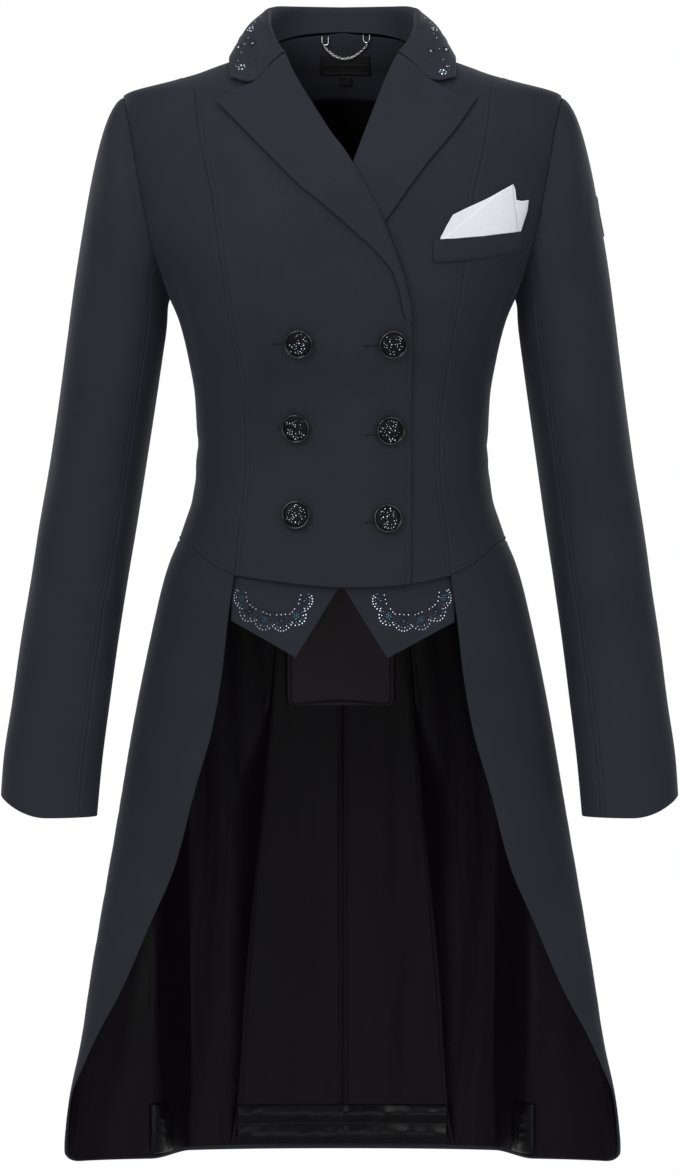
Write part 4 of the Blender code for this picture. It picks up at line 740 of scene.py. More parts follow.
def lapel(name, side):
    f, e = rollX[side], pchip(LAPEL_EDGE[side], 1)
    u = np.unique(np.concatenate([params(0.085, 16), [0.2, 0.4, 0.6, 0.8]]))
    v = params(0.24, 62, lo=False)

    def ph(x, z):
        return phi_of(x * side, z)
    n, tops = NOTCH[side], LAPEL_TOP[side]
    rx = float(f(-0.0054))
    kx = [rx, rx + (n[0] - rx) * 0.33, rx + (n[0] - rx) * 0.66, n[0], tops[0][0], tops[1][0]]
    kz = [-0.0054, -0.0054 + (n[1] + 0.0054) * 0.30, -0.0054 + (n[1] + 0.0054) * 0.64, n[1], tops[0][1], tops[1][1]]
    z_peak = LAPEL_EDGE[side][0][0]

    def roll(v):
        z = lin(-0.2440, -0.0054, v)
        return pair(ph(f(z), z), z)

    def edge(v):
        z = lin(-0.2430, z_peak, v)
        return pair(ph(e(z), z), z)

    def top(u):
        x, z = np.interp(u * 5, range(6), kx), np.interp(u * 5, range(6), kz)
        return pair(ph(x, z), z)
    r0, e0 = roll(np.array([0.0]))[0], edge(np.array([0.0]))[0]
    G = coons(lambda u: r0 + (e0 - r0) * u[:, None], top, roll, edge, u, v)
    phi, z = G[..., 0], G[..., 1]
    p, nn = body(phi, z), normal(phi, z)
    if side < 0:
        p, nn = p * (-1, 1, 1), nn * (-1, 1, 1)
    low = smooth(0, 3 / 11, v)[:, None]
    U = u[None, :]
    swell = 0.0022 * low * np.sqrt(np.maximum(4 * U * (1 - U), 0)) * (1 - 0.6 * U)
    base = np.zeros_like(phi)
    if side > 0:
        swell = swell * smooth(0.002, 0.030, p[..., 0] - rollX[-1](p[..., 2]))
    else:
        base = lift(p[..., 0], p[..., 2])
    end = smooth(0, 0.050, v)[:, None]
    h = base + 0.0010 - 0.0034 * (1 - end) + swell + creases(side * phi, z)
    P = p + nn * (h + LAPEL_T)[..., None]
    # the cloth rolls over the fold and ends inside the front
    out = unit(p[:, 0] - p[:, 3])
    r = 0.0024 * (0.55 + 0.45 * low[:, 0]) * (0.22 + 0.78 * end[:, 0])
    hc = (h[:, 0] + LAPEL_T) - r
    wrap = []
    for th in np.radians([172, 150, 128, 106, 84, 62, 42, 24, 10]):
        wrap.append(p[:, 0] + out * (r * np.sin(th))[:, None] + nn[:, 0] * (hc + r * np.cos(th))[:, None])
    P = np.concatenate([np.stack(wrap, 1), P], 1)
    like = np.concatenate([np.stack([out * math.sin(t) + nn[:, 0] * math.cos(t) for t in np.radians([172, 150, 128, 106, 84, 62, 42, 24, 10])], 1), nn], 1)
    N = grid_normals(P, like)
    ob = shell("lapel_cloth_" + name, P, N, 0.0012, ("", "free", "free", "free"))
    dress(ob, M_CLOTH_PAINTED_HIGHLIGHT, "lapel_" + name)


for name, s in SIDES:
    lapel(name, s)

# ------------------------------------------------------------------ collar
COLLAR = [  # t,    nx,     ny,      nz,     rx,     ry,      rz,     ex,     ey,      ez
    (0.00, 0.0000, 0.0600, 0.0265, 0.0000, 0.0650, 0.0482, 0.0000, 0.0790, 0.0010),
    (0.20, 0.0310, 0.0530, 0.0240, 0.0330, 0.0580, 0.0480, 0.0420, 0.0710, 0.0000),
    (0.40, 0.0555, 0.0330, 0.0160, 0.0560, 0.0380, 0.0462, 0.0740, 0.0500, -0.0010),
    (0.58, 0.0655, 0.0080, 0.0080, 0.0668, 0.0130, 0.0400, 0.0930, 0.0210, -0.0005),
    (0.74, 0.0645, -0.0130, 0.0030, 0.0668, -0.0090, 0.0300, 0.0985, -0.0050, -0.0020),
    (0.88, 0.0590, -0.0290, 0.0010, 0.0610, -0.0290, 0.0135, 0.0992, -0.0272, -0.0083)]
COLLAR_T = 0.0020


def on_body(x, z, h):
    ph = phi_of(abs(x), z)
    return body(ph, z) + normal(ph, z) * h


def collar_side(v, side):
    """(len(v), 8, 3) points across the collar, wearer's left sense, then mirrored."""
    rx = abs(float(rollX[side](-0.0054)))
    tip = on_body(0.0978 if side > 0 else 0.0968, -0.0275, 0.0042)
    roll_end = on_body(rx, -0.0044, 0.0034)
    seam_end = on_body(rx - 0.0015, -0.0030, 0.0008)
    rows = COLLAR + [(1.00, *seam_end, *roll_end, *tip)]
    c = [pchip(rows, k)(v) for k in range(1, 10)]
    Nn, R, E = [np.stack(c[3 * k:3 * k + 3], -1) for k in range(3)]
    notch = on_body(abs(NOTCH[side][0]), NOTCH[side][1] + 0.0010, 0.0042)
    out = E - Nn
    out[:, 2] = 0
    out = unit(out)
    k = np.minimum(np.linalg.norm(R - Nn, axis=-1) / 0.02, 1.0)[:, None]
    up = np.array([0, 0, 1.0])
    a = Nn * 0.5 + R * 0.5 - out * 0.0012 * k
    r0 = R - out * 0.0026 * k - up * 0.0026 * k
    r1 = R + out * 0.0034 * k - up * 0.0022 * k
    m1 = R + (E - R) * 0.36 + out * 0.0050 * k + up * 0.0035
    m2 = R + (E - R) * 0.70 + out * 0.0030 * k + up * 0.0018
    w = smooth(0.86, 1.0, v)[:, None]
    m1 = m1 * (1 - w) + (roll_end * 0.52 + notch * 0.48) * w
    m2 = m2 * (1 - w) + notch * w
    P = np.stack([Nn, a, r0, R, r1, m1, m2, E], 1)
    return P * (side, 1, 1)


def spline_rows(P, n, tight=None):
    """Catmull-Rom along axis 1 of (rows, k, 3), by chord length, at the fractions in tight; n is not used."""
    out = []
    for row in P:
        d = np.maximum(np.linalg.norm(np.diff(row, axis=0), axis=1), 1e-6) ** 0.5
        t = np.concatenate([[0], np.cumsum(d)])
        m = np.zeros_like(row)
        m[1:-1] = ((row[2:] - row[1:-1]) / d[1:, None] * d[:-1, None] + (row[1:-1] - row[:-2]) / d[:-1, None] * d[1:, None]) / (d[:-1] + d[1:])[:, None]
        m[0], m[-1] = (row[1] - row[0]) / d[0], (row[-1] - row[-2]) / d[-1]
        q = np.asarray(tight) * t[-1]
        i = np.clip(np.searchsorted(t, q) - 1, 0, len(d) - 1)
        w = ((q - t[i]) / d[i])[:, None]
        D = d[i][:, None]
        out.append((2 * w**3 - 3 * w**2 + 1) * row[i] + (w**3 - 2 * w**2 + w) * D * m[i]
                   + (-2 * w**3 + 3 * w**2) * row[i + 1] + (w**3 - w**2) * D * m[i + 1])
    return np.array(out)


def collar():
    half = params(0.17, 44, lo=False)
    L, R = collar_side(half, 1), collar_side(half, -1)
    P = np.concatenate([R[::-1], L[1:]], 0)
    P = spline_rows(P, 0, params(0.085, 26))
    mid = P.shape[0] // 2
    a, b = np.gradient(P, axis=0), np.gradient(P, axis=1)
    N = unit(np.cross(a, b))
    if N[mid, P.shape[1] // 2][2] < 0:
        N = -N
    ob = shell("collar_cloth", P + N * (COLLAR_T / 2), N, COLLAR_T, ("", "free", "free", "free"))
    dress(ob, M_CLOTH_PAINTED_HIGHLIGHT, "collar")
    return P + N * (COLLAR_T / 2), N


COLLAR_P, COLLAR_N = collar()

# ------------------------------------------------------------------ sleeves
SLEEVE = [  # z, inner x, outer x, centre y, half depth
    (-0.2508, 0.1560, 0.2420, 0.0020, 0.0590), (-0.3036, 0.1636, 0.2490, 0.0050, 0.0570),
    (-0.3564, 0.1714, 0.2565, 0.0060, 0.0545), (-0.4092, 0.1791, 0.2649, 0.0040, 0.0505),
    (-0.4620, 0.1872, 0.2724, -0.0020, 0.0465), (-0.5148, 0.1947, 0.2803, -0.0100, 0.0430),
    (-0.5676, 0.2013, 0.2869, -0.0190, 0.0400), (-0.6204, 0.2075, 0.2940, -0.0290, 0.0375),
    (-0.6700, 0.2118, 0.2968, -0.0370, 0.0355)]
CUFF_OUT, CUFF_FRONT, CUFF_IN, CUFF_BACK = -0.6500, -0.6685, -0.6680, -0.6560
FRONT_SEAM, BACK_SEAM, RING_N = 7, 13, 18
slIn, slOut, slCy, slHy = [pchip(SLEEVE, c) for c in range(1, 5)]
SLEEVE_CREASES = [  # side, psi0, s0, psi1, s1, width, depth (psi: 0 outer, 90 front, 180 inner, 270 back; s: metres from the shoulder seam)
    (1, 40, 0.05, 95, 0.16, 0.012, -0.0014), (1, 150, 0.30, 95, 0.36, 0.010, -0.0020),
    (1, 165, 0.34, 110, 0.395, 0.009, -0.0017), (1, 200, 0.31, 250, 0.36, 0.011, -0.0022),
    (1, 60, 0.30, 20, 0.44, 0.016, 0.0010), (1, 120, 0.46, 80, 0.60, 0.014, -0.0010),
    (1, 300, 0.08, 265, 0.24, 0.015, -0.0018), (1, 230, 0.36, 290, 0.40, 0.012, 0.0013),
    (1, 20, 0.12, 50, 0.30, 0.016, 0.0010), (1, 320, 0.30, 300, 0.50, 0.014, -0.0012),
    (-1, 46, 0.06, 98, 0.18, 0.012, -0.0015), (-1, 155, 0.29, 100, 0.345, 0.010, -0.0021),
    (-1, 160, 0.335, 104, 0.40, 0.010, -0.0016), (-1, 205, 0.32, 256, 0.355, 0.010, -0.0021),
    (-1, 66, 0.28, 24, 0.42, 0.015, 0.0011), (-1, 116, 0.48, 84, 0.61, 0.013, -0.0010),
    (-1, 296, 0.09, 262, 0.26, 0.015, -0.0018), (-1, 236, 0.37, 292, 0.41, 0.012, 0.0012),
    (-1, 16, 0.14, 52, 0.32, 0.016, 0.0010), (-1, 324, 0.28, 302, 0.48, 0.014, -0.0012)]


def ring_psi(k):
    k = np.asarray(k, float)
    return np.interp(k, [0, FRONT_SEAM, N_ARM, BACK_SEAM, RING_N, RING_N + FRONT_SEAM], [0.0, 130.0, 180.0, 255.0, 360.0, 490.0])


def sleeve_ring(psi, z):
    c, s = np.cos(np.radians(psi)), np.sin(np.radians(psi))
    r = (np.abs(c) ** 2.15 + np.abs(s) ** 2.15) ** (-1 / 2.15)
    x0, x1 = slIn(z), slOut(z)
    sway = SLEEVE_SWAY * smooth(-0.20, -0.66, z)
    return np.stack([(x0 + x1) / 2 + (x1 - x0) / 2 * c * r, slCy(z) - slHy(z) * s * r, z + 0 * psi], -1), sway


def sleeve_cap(k, side=1):
    """Cubic from the armhole to the ring at z -0.2508, for ring places k: four control points."""
    psi = ring_psi(k)
    kk = np.mod(k, RING_N)
    front = kk <= N_ARM
    Gf = s_arm(np.clip((N_ARM - kk) / N_ARM, 0, 1), False)
    Gb = s_arm(np.clip((kk - N_ARM) / N_ARM, 0, 1), True)
    G = np.where(front[:, None], Gf, Gb)
    A, n = body(G[:, 0], G[:, 1]), normal(G[:, 0], G[:, 1])
    A = A + n * creases(side * G[:, 0], G[:, 1])[:, None]
    fold = smooth(0.35, 0.95, (1 - np.cos(np.radians(psi))) / 2)[:, None]
    sn = np.sin(np.radians(psi))[:, None]
    T0 = unit(np.concatenate([0.95 - 0.60 * fold, -0.30 * sn, -0.31 - 0.62 * fold], 1))
    ex = np.array([1.0, 0, 0])
    S = A + n * (0.0006 * (1 - fold) - 0.0002)
    E, _ = sleeve_ring(psi, np.full_like(psi, -0.2508))
    E2, _ = sleeve_ring(psi, np.full_like(psi, -0.2700))
    T1 = unit(E2 - E)
    L = np.linalg.norm(E - S, axis=1, keepdims=True)
    P1 = S + T0 * (0.016 + 0.012 * np.abs(sn)) * np.minimum(1, L / 0.06)
    P2 = E - T1 * np.minimum(0.150, 0.70 * L)
    return S, P1, P2, E


def sleeve(side, name):
    def cut(k0, k1, node, n_mid, kinds):
        k = k0 + (k1 - k0) * params((k1 - k0) * 0.0145, n_mid)
        psi = ring_psi(k)
        S, P1, P2, E = sleeve_cap(k, side)
        tuck = S - unit(P1 - S) * 0.0016 - unit(S * (0, 1, 0) * 0 + (S - np.array([0.10, 0.0, -0.13]))) * 0.0012
        tc = np.concatenate([[0, 0.006, 0.015, 0.028, 0.045, 0.07], np.linspace(0.10, 1.0, 44)])[:, None, None]
        cap = (1 - tc)**3 * S + 3 * tc * (1 - tc)**2 * P1 + 3 * tc**2 * (1 - tc) * P2 + tc**3 * E
        c, s = np.cos(np.radians(psi)), np.sin(np.radians(psi))
        zc = np.where(c > 0, CUFF_OUT, CUFF_IN) * c * c + np.where(s > 0, CUFF_FRONT, CUFF_BACK) * s * s
        tl = params(0.41, 100, lo=False)[1:]
        z = -0.2508 + (zc[None] + 0.2508) * tl[:, None]
        low, sway = sleeve_ring(np.broadcast_to(psi, z.shape), z)
        P = np.concatenate([tuck[None], cap, low], 0)
        P = P * (side, 1, 1)
        P[len(tc) + 1:, :, 0] += sway
        # outward sense from the tube's own centre line
        a, b = np.gradient(P, axis=0), np.gradient(P, axis=1)
        N = unit(np.cross(a, b))
        mid = P.shape[0] * 2 // 3
        zmid = float(P[mid, P.shape[1] // 2, 2])
        centre = np.array([side * float(slIn(zmid) + slOut(zmid)) / 2, float(slCy(zmid)), zmid])
        if np.dot(N[mid, P.shape[1] // 2], P[mid, P.shape[1] // 2] - centre) < 0:
            N = -N
        # creases
        sd, _ = run(P, 0)
        off = np.zeros(P.shape[:2])
        ps = np.mod(psi, 360.0)[None]
        q = math.radians(1) * 0.045
        for cs, p0, s0, p1, s1, w, dep in SLEEVE_CREASES:
            if cs != side:
                continue
            dx, dy = (p1 - p0) * q, s1 - s0
            L = math.hypot(dx, dy)
            dp = (ps - p0 + 180) % 360 - 180
            ax, ay = dp * q, sd - s0
            t = (ax * dx + ay * dy) / L**2
            d = (ax * dy - ay * dx) / L + 0.16 * w * np.sin(t * 6 + p0)
            off += dep * smooth(-0.12, 0.3, t) * (1 - smooth(0.7, 1.12, t)) * np.exp(-(d / w) ** 2)
        P = P + N * off[..., None]
        ob = shell(node.replace("sleeve", "sleeve_cloth"), P, N, WALL, kinds)
        dress(ob, M_CLOTH, node)
        return P, N
    cut(FRONT_SEAM, BACK_SEAM, "under_sleeve_" + name, 18, ("seam", "seam", "soft", "free"))
    return cut(BACK_SEAM, RING_N + FRONT_SEAM, "upper_sleeve_" + name, 34, ("seam", "seam_st", "soft", "free"))


UPPER = {s: sleeve(s, name) for name, s in SIDES}

# ------------------------------------------------------------------ lining, facing, casing, tabs
LIN = -WALL - LAYER_GAP
HEM_TURN = 0.0042
FACING_V = (N_TAIL + N_SIDE + 6) / N_BACK


def lining_ripple(phi, z, side):
    """Small uneven waves of the loose lining; it only ever moves inwards, off the cloth."""
    a = 0.5 + 0.5 * np.sin(phi * 0.62 + 3.1 * np.sin(z * 9.0 + side) + side)
    b = 0.5 + 0.5 * np.sin(phi * 1.9 + 2.2 * np.sin(z * 21.0) + z * 16.0)
    return -0.0009 * a * smooth(-0.40, -0.52, z) - 0.0003 * b


def inner(G, side, off, trim=()):
    phi, z = G[..., 0], G[..., 1]
    return place(G, side, off)


for name, s in SIDES:
    u, v = params(0.085, 20), params(0.93, 170)
    v_top = FACING_V
    G = grid_back(u, v * v_top)
    G[..., 1] = np.maximum(G[..., 1], HEM_Z + HEM_TURN)
    keep = np.concatenate([[True], np.abs(np.diff(G[:, 0, 1])) > 1e-6])
    G = G[keep]
    P, N = place(G, s, LIN)
    P = P + N * lining_ripple(G[..., 0], G[..., 1], s)[..., None] * 0.5
    dress(shell("lining_back_satin_" + name, P, N, LINING, ("satin", "satin", "", "")), M_LINING, "lining_back_" + name)
    ue, ve = params(0.26, 52), params(0.52, 110)
    ue = 0.014 + ue * (1 - 0.014)
    ve = 0.008 + ve * (1 - 0.008)
    G = grid_skirt(ue, ve)
    P, N = place(G, s, LIN)
    P = P + N * lining_ripple(G[..., 0], G[..., 1], s)[..., None]
    dress(shell("lining_skirt_satin_" + name, P, N, LINING, ("", "satin", "", "satin")), M_LINING, "lining_skirt_" + name)

vf = FACING_V + (1 - FACING_V) * np.linspace(0, 0.985, 26)
uf = 1 / 6 + (5 / 6) * np.linspace(0, 1, 40)
Gf = grid_back(uf, vf)
PL, NL = place(Gf, 1, LIN)
PR, NR = place(Gf, -1, LIN)
Pf = np.concatenate([PL, PR[:, -2::-1]], 1)
Nf = np.concatenate([NL, NR[:, -2::-1]], 1)
dress(shell("neck_facing_cloth", Pf, Nf, LINING, ("", "", "free", "")), M_CLOTH, "back_neck_facing")


def patch(x_edges, z_rows, back=True, nx=60):
    """Grid of (phi, z) over rows of z; x_edges gives (x0, x1) at each z. phi runs past 180 behind."""
    G = np.zeros((len(z_rows), nx, 2))
    for j, z in enumerate(z_rows):
        x0, x1 = x_edges(z)
        x = np.linspace(x0, x1, nx)
        p = phi_of(x, z, back)
        G[j, :, 0] = np.where(p < 0, p + 360, p) if back else p
        G[j, :, 1] = z
    return G


def wave_noise(a, b, seed, octaves=4):
    rng = np.random.default_rng(seed)
    out = np.zeros(np.broadcast(a, b).shape)
    for o in range(octaves):
        for _ in range(5):
            fx, fz = rng.normal(0, 1, 2) * 2.0**o
            out += np.sin(a * fx + b * fz + rng.uniform(0, 6.28)) * 0.62**o / 5
    return out


# puckered casing: drawn up between its stitched rows
zr = np.linspace(HEM_Z + 0.0042, HEM_Z + 0.0402, 44)
G = patch(lambda z: (0.0955, -0.0955), zr, nx=300)
P, N = place(G, 1, LIN - LINING - 0.0006)
X, Z = P[..., 0], (P[..., 2] - zr[0]) / (zr[-1] - zr[0])
rowband = np.minimum(np.abs(np.sin(np.pi * np.clip((Z - 0.02) / 0.50, 0, 1))), 1) + np.abs(np.sin(np.pi * np.clip((Z - 0.54) / 0.46, 0, 1)))
pucker = wave_noise(X / 0.0150, Z * 1.6, 4, 2) * 0.0012 + wave_noise(X / 0.034, Z * 0.9, 9, 2) * 0.0011 + wave_noise(X / 0.0065, Z * 1.0, 14, 1) * 0.0003
puff = -(0.0012 + np.maximum(pucker + 0.0010, -0.0010)) * rowband * (1 - 0.35 * np.exp(-(X / 0.004) ** 2))
P = P + N * puff[..., None]
dress(shell("hem_casing_satin", P, N, 0.0010, ("free", "free", "free", "free")), M_CASING, "hem_casing")
for name, s in SIDES:
    zt = np.linspace(HEM_Z + 0.005, HEM_Z + 0.049, 40)
    G = patch(lambda z: (0.1640 + 0.0072, 0.1640 - 0.0072), zt, nx=22)
    P, N = place(G, s, LIN - LINING - 0.0016)
    X, Z = (P[..., 0] * s - 0.164) / 0.0072, (P[..., 2] - zt[0]) / 0.044
    puff = -0.0016 * np.sqrt(np.maximum(1 - X * X, 0)) * np.sin(np.pi * np.clip(Z, 0, 1)) ** 0.5 * (1 + 0.5 * wave_noise(X * 1.1, Z * 7.0, 21 + s, 3))
    P = P + N * puff[..., None]
    dress(shell("hem_tab_satin_" + name, P, N, 0.0009, ("free",) * 4), M_CASING, "hem_tab_" + name)

# inner flap with a stitched border and rounded lower corners
FLAP_X0, FLAP_X1, FLAP_TOP, FLAP_BOT = 0.0482, -0.0517, -0.4000, -0.5745


def flap_edges(z):
    d = max(0.0, 0.007 - (z - FLAP_BOT))
    c = 0.007 - math.sqrt(max(0.007**2 - d * d, 0))
    return FLAP_X0 - c, FLAP_X1 + c


zf = FLAP_BOT + (FLAP_TOP - FLAP_BOT) * params(0.1745, 40)
G = patch(flap_edges, zf, nx=90)
P, N = place(G, 1, LIN - LINING - 0.0022)
sl, wl = run(P, 1)
sb, _ = run(P, 0)
de = np.minimum(np.minimum(sl, wl - sl), sb)
P = P + N * (-0.0010 * np.exp(-((de - 0.0026) / 0.0017) ** 2) + 0.0007 * np.exp(-((de - 0.0052) / 0.0007) ** 2)
             - 0.0007 * smooth(0.006, 0.03, de) * (1 + 0.4 * wave_noise(P[..., 0] / 0.02, P[..., 2] / 0.03, 3, 2)))[..., None]
dress(shell("inner_flap_cloth", P, N, 0.0014, ("free", "free", "free", "")), M_FLAP, "inner_back_flap")

# ------------------------------------------------------------------ waistcoat points
WC = {-1: ((-0.0985, -0.4975), (-0.0410, -0.5305), (-0.0039, -0.4697)),
      1: ((0.0992, -0.4985), (0.0392, -0.5312), (0.0012, -0.4697))}
for name, s in SIDES:
    (ox, oz), (tx, tz), (ix, iz) = WC[s]
    x = np.unique(np.concatenate([ox + (ix - ox) * params(0.1, 60), [tx]]))
    if s > 0:
        x = x[::-1]
    kx = [ox, tx, ix]
    low = np.interp(x * s, [v * s for v in kx][::-1], [oz, tz, iz][::-1])
    vv = params(0.07, 40)
    Zg = low[None] + (-0.4440 - low[None]) * vv[:, None]
    Xg = np.broadcast_to(x, Zg.shape)
    G = np.stack([phi_of(Xg * s, Zg), Zg], -1)
    P, N = place(G, s, -0.0054)
    dress(shell("waistcoat_point_cloth_" + name, P, N, WALL, ("free", "free", "free", "")), M_CLOTH_PAINTED_HIGHLIGHT, "waistcoat_point_" + name)

# ------------------------------------------------------------------ pocket welt and square
WELT = [(0.0773, -0.1902, -0.1713), (0.0930, -0.1893, -0.1700), (0.1090, -0.1872, -0.1683),
        (0.1250, -0.1842, -0.1660), (0.1410, -0.1804, -0.1633), (0.1543, -0.1767, -0.1608)]
wlo, whi = pchip(WELT, 1), pchip(WELT, 2)
xw = 0.0773 + 0.077 * params(0.078, 40)
vw = params(0.019, 6)
Zg = wlo(xw)[None] + (whi(xw) - wlo(xw))[None] * vw[:, None]
G = np.stack([phi_of(np.broadcast_to(xw, Zg.shape), Zg), Zg], -1)
P, N = place(G, 1, 0.0032)
sl, wl = run(P, 1)
sb, wb = run(P, 0)
P = P + N * (-0.0004 * np.exp(-((np.minimum(sl, wl - sl) - 0.0030) / 0.0006) ** 2) - 0.0012 * np.exp(-(sb / 0.0016) ** 2)
             - 0.0010 * np.exp(-(np.minimum(sl, wl - sl) / 0.0012) ** 2))[..., None]
dress(shell("pocket_welt_cloth", P, N, 0.0016, ("free", "free", "free", "free")), M_CLOTH_PAINTED_HIGHLIGHT, "pocket_welt")

SQUARE = [  # x, upper z; the folded corners above the welt
    (0.0835, -0.1690), (0.0885, -0.1590), (0.0940, -0.1494), (0.1080, -0.1420), (0.1250, -0.1335), (0.1400, -0.1245),
    (0.1459, -0.1209), (0.1474, -0.1250), (0.1481, -0.1344), (0.1530, -0.1350), (0.1594, -0.1336)]
SQ_LOW = [(0.0835, -0.1703), (0.0950, -0.1697), (0.1200, -0.1668), (0.1459, -0.1622), (0.1530, -0.1608), (0.1594, -0.1400)]
sx, sz = [r[0] for r in SQUARE], [r[1] for r in SQUARE]
xs = np.unique(np.concatenate([np.linspace(0.0835, 0.1590, 90), sx[:-1]]))
up = np.interp(xs, sx, sz)
dn = np.interp(xs, [r[0] for r in SQ_LOW], [r[1] for r in SQ_LOW])
dn = np.minimum(dn, up - 0.0006)
vs = np.linspace(0, 1, 44)
Zg = dn[None] + (up - dn)[None] * vs[:, None]
Xg = np.broadcast_to(xs, Zg.shape)
G = np.stack([phi_of(Xg, Zg), Zg], -1)
P, N = place(G, 1, 0.0028)
fold1 = smooth(-0.0004, 0.0010, (Xg - 0.0885) - (Zg + 0.168) * 1.15)      # a soft fold up to the tallest corner
fold2 = smooth(-0.0008, 0.0008, Xg - (0.1462 + (Zg + 0.134) * -0.12))
soft = 0.0009 * np.sin((Xg - 0.0835) / 0.011 + (Zg + 0.16) / 0.017) * vs[:, None]
P = P + N * (0.0006 * fold1 - 0.0011 * fold2 + soft + 0.0006 * vs[:, None])[..., None]
dress(shell("pocket_square_cloth", P, N, 0.0009, ("free", "free", "", "free")), M_WHITE, "pocket_square")

# ------------------------------------------------------------------ labels, left bare
LAB = LIN - LINING - 0.0015
for nm, x0, x1, z0, z1 in (("neck_label", 0.0255, -0.0201, -0.0093, 0.0077), ("size_tab", 0.0085, -0.0022, -0.0183, -0.0105)):
    G = patch(lambda z: (x0, x1), z0 + (z1 - z0) * params(0.017 if nm == "neck_label" else 0.0185, 8), nx=40)
    P, N = place(G, 1, LAB + 0.0001)
    sl, wl = run(P, 1)
    sb, wb = run(P, 0)
    de = np.minimum(np.minimum(sl, wl - sl), np.minimum(sb, wb - sb))
    P = P - N * (0.00025 * np.exp(-((de - 0.0012) / 0.0004) ** 2))[..., None]
    dress(shell(nm + "_tape", P, N, 0.0006, ("free",) * 4), M_TAPE, nm)


# ------------------------------------------------------------------ small hard things
def basis(n):
    n = unit(np.asarray(n, float))
    up = np.array([0, 0, 1.0])
    a = unit(np.cross(up, n))
    return a, np.cross(n, a), n


def joined(name, parts, mat, smooth_it=True, with_node=None):
    V, Q, n = [], [], 0
    for v, q in parts:
        V.append(v)
        Q.append(q + n)
        n += len(v)
    ob = make_mesh(name, np.concatenate(V), np.concatenate(Q), None, smooth_it)
    dress(ob, mat, with_node)
    PIECES.append(ob)
    return ob


def stone(p, n, r, spin=0.0, h=0.62, sides=8):
    """A low faceted dome: girdle, crown and table, as triangles."""
    a, b, d = basis(n)
    t = np.arange(sides) * 2 * np.pi / sides + spin
    t2 = t + np.pi / sides
    base = p + (a * np.cos(t)[:, None] + b * np.sin(t)[:, None]) * r
    girdle = base + d * r * 0.22
    crown = p + (a * np.cos(t2)[:, None] + b * np.sin(t2)[:, None]) * r * 0.58 + d * r * h
    V = np.concatenate([[p], base, girdle, crown, [p + d * r * (h + 0.03)]])
    i = np.arange(sides)
    j = (i + 1) % sides
    B, Gd, C, top = 1, 1 + sides, 1 + 2 * sides, 1 + 3 * sides
    F = np.concatenate([
        np.stack([np.zeros(sides, int), B + j, B + i], 1),
        np.stack([B + i, B + j, Gd + j], 1), np.stack([B + i, Gd + j, Gd + i], 1),
        np.stack([Gd + i, Gd + j, C + i], 1), np.stack([C + i, Gd + j, C + j], 1),
        np.stack([C + i, C + j, np.full(sides, top)], 1)])
    return V, F


def lathe(centre, axis, profile, segs=48):
    a, b, d = basis(axis)
    t = np.arange(segs) * 2 * np.pi / segs
    ring = a * np.cos(t)[:, None] + b * np.sin(t)[:, None]
    V = [centre + ring * r + d * h for r, h in profile]
    n = len(profile)
    i = np.arange(segs)
    j = (i + 1) % segs
    Q = [np.stack([k * segs + i, k * segs + j, (k + 1) * segs + j, (k + 1) * segs + i], 1) for k in range(n - 1)]
    return np.concatenate(V), np.concatenate(Q)


BUTTONS = [("button_top_right", -0.0365, -0.2580), ("button_top_left", 0.0418, -0.2583),
           ("button_middle_right", -0.0392, -0.3308), ("button_middle_left", 0.0401, -0.3325),
           ("button_bottom_right", -0.0392, -0.4066), ("button_bottom_left", 0.0380, -0.4097)]
RB = 0.0125
PROFILE = [(0.0002, 0.0), (0.35, 0.0), (0.60, 0.0002), (0.80, 0.0010), (0.93, 0.0021), (0.985, 0.0032), (1.0, 0.0041),
           (0.985, 0.0048), (0.955, 0.0053), (0.915, 0.00545), (0.875, 0.0052), (0.850, 0.0047), (0.838, 0.0042),
           (0.825, 0.0040)]
DISH = [(0.835, 0.0039), (0.800, 0.0042), (0.70, 0.0045), (0.50, 0.0048), (0.25, 0.0050), (0.0002, 0.0051)]
rng = np.random.default_rng(11)
for nm, x, z in BUTTONS:
    q, n = surf(x, z)
    q = q + n * (float(lift(x, z)) + 0.0012)
    prof = [(r * RB if r > 0.001 else 0.0002, h) for r, h in PROFILE]
    ring_ob = joined(nm + "_ring", [lathe(q, n, prof + [(0.0002, 0.0040)])], M_BUTTON, True, nm)
    dish = [(r * RB if r > 0.001 else 0.0002, h) for r, h in DISH]
    joined(nm + "_dish", [lathe(q, n, [(0.0002, 0.0036)] + dish)], M_BUTTON_IN)
    a, b, d = basis(n)
    parts, small, spots = [], [], []
    tries = 0
    while len(spots) < 30 and tries < 3000:
        tries += 1
        r, t = RB * 0.74 * math.sqrt(rng.uniform()), rng.uniform(0, 6.283)
        size = rng.choice([0.00036, 0.00050, 0.00064, 0.00078], p=[0.35, 0.33, 0.22, 0.10])
        u2, v2 = r * math.cos(t), r * math.sin(t)
        if all(math.hypot(u2 - s[0], v2 - s[1]) > size + s[2] + 0.00045 for s in spots):
            spots.append((u2, v2, size))
            hh = 0.0051 - 0.0010 * (r / RB) ** 2
            parts.append(stone(q + a * u2 + b * v2 + d * (hh - 0.0001), n, size, rng.uniform(0, 1), 0.7, 6))
    joined(nm + "_crystals", parts[::1], M_CLEAR, False)
    # shank under the button
    joined(nm + "_shank", [lathe(q - d * 0.0012, n, [(0.0002, 0.0), (0.0022, 0.0), (0.0018, 0.0007), (0.0020, 0.0013), (0.0002, 0.0013)], 16)], M_THREAD)


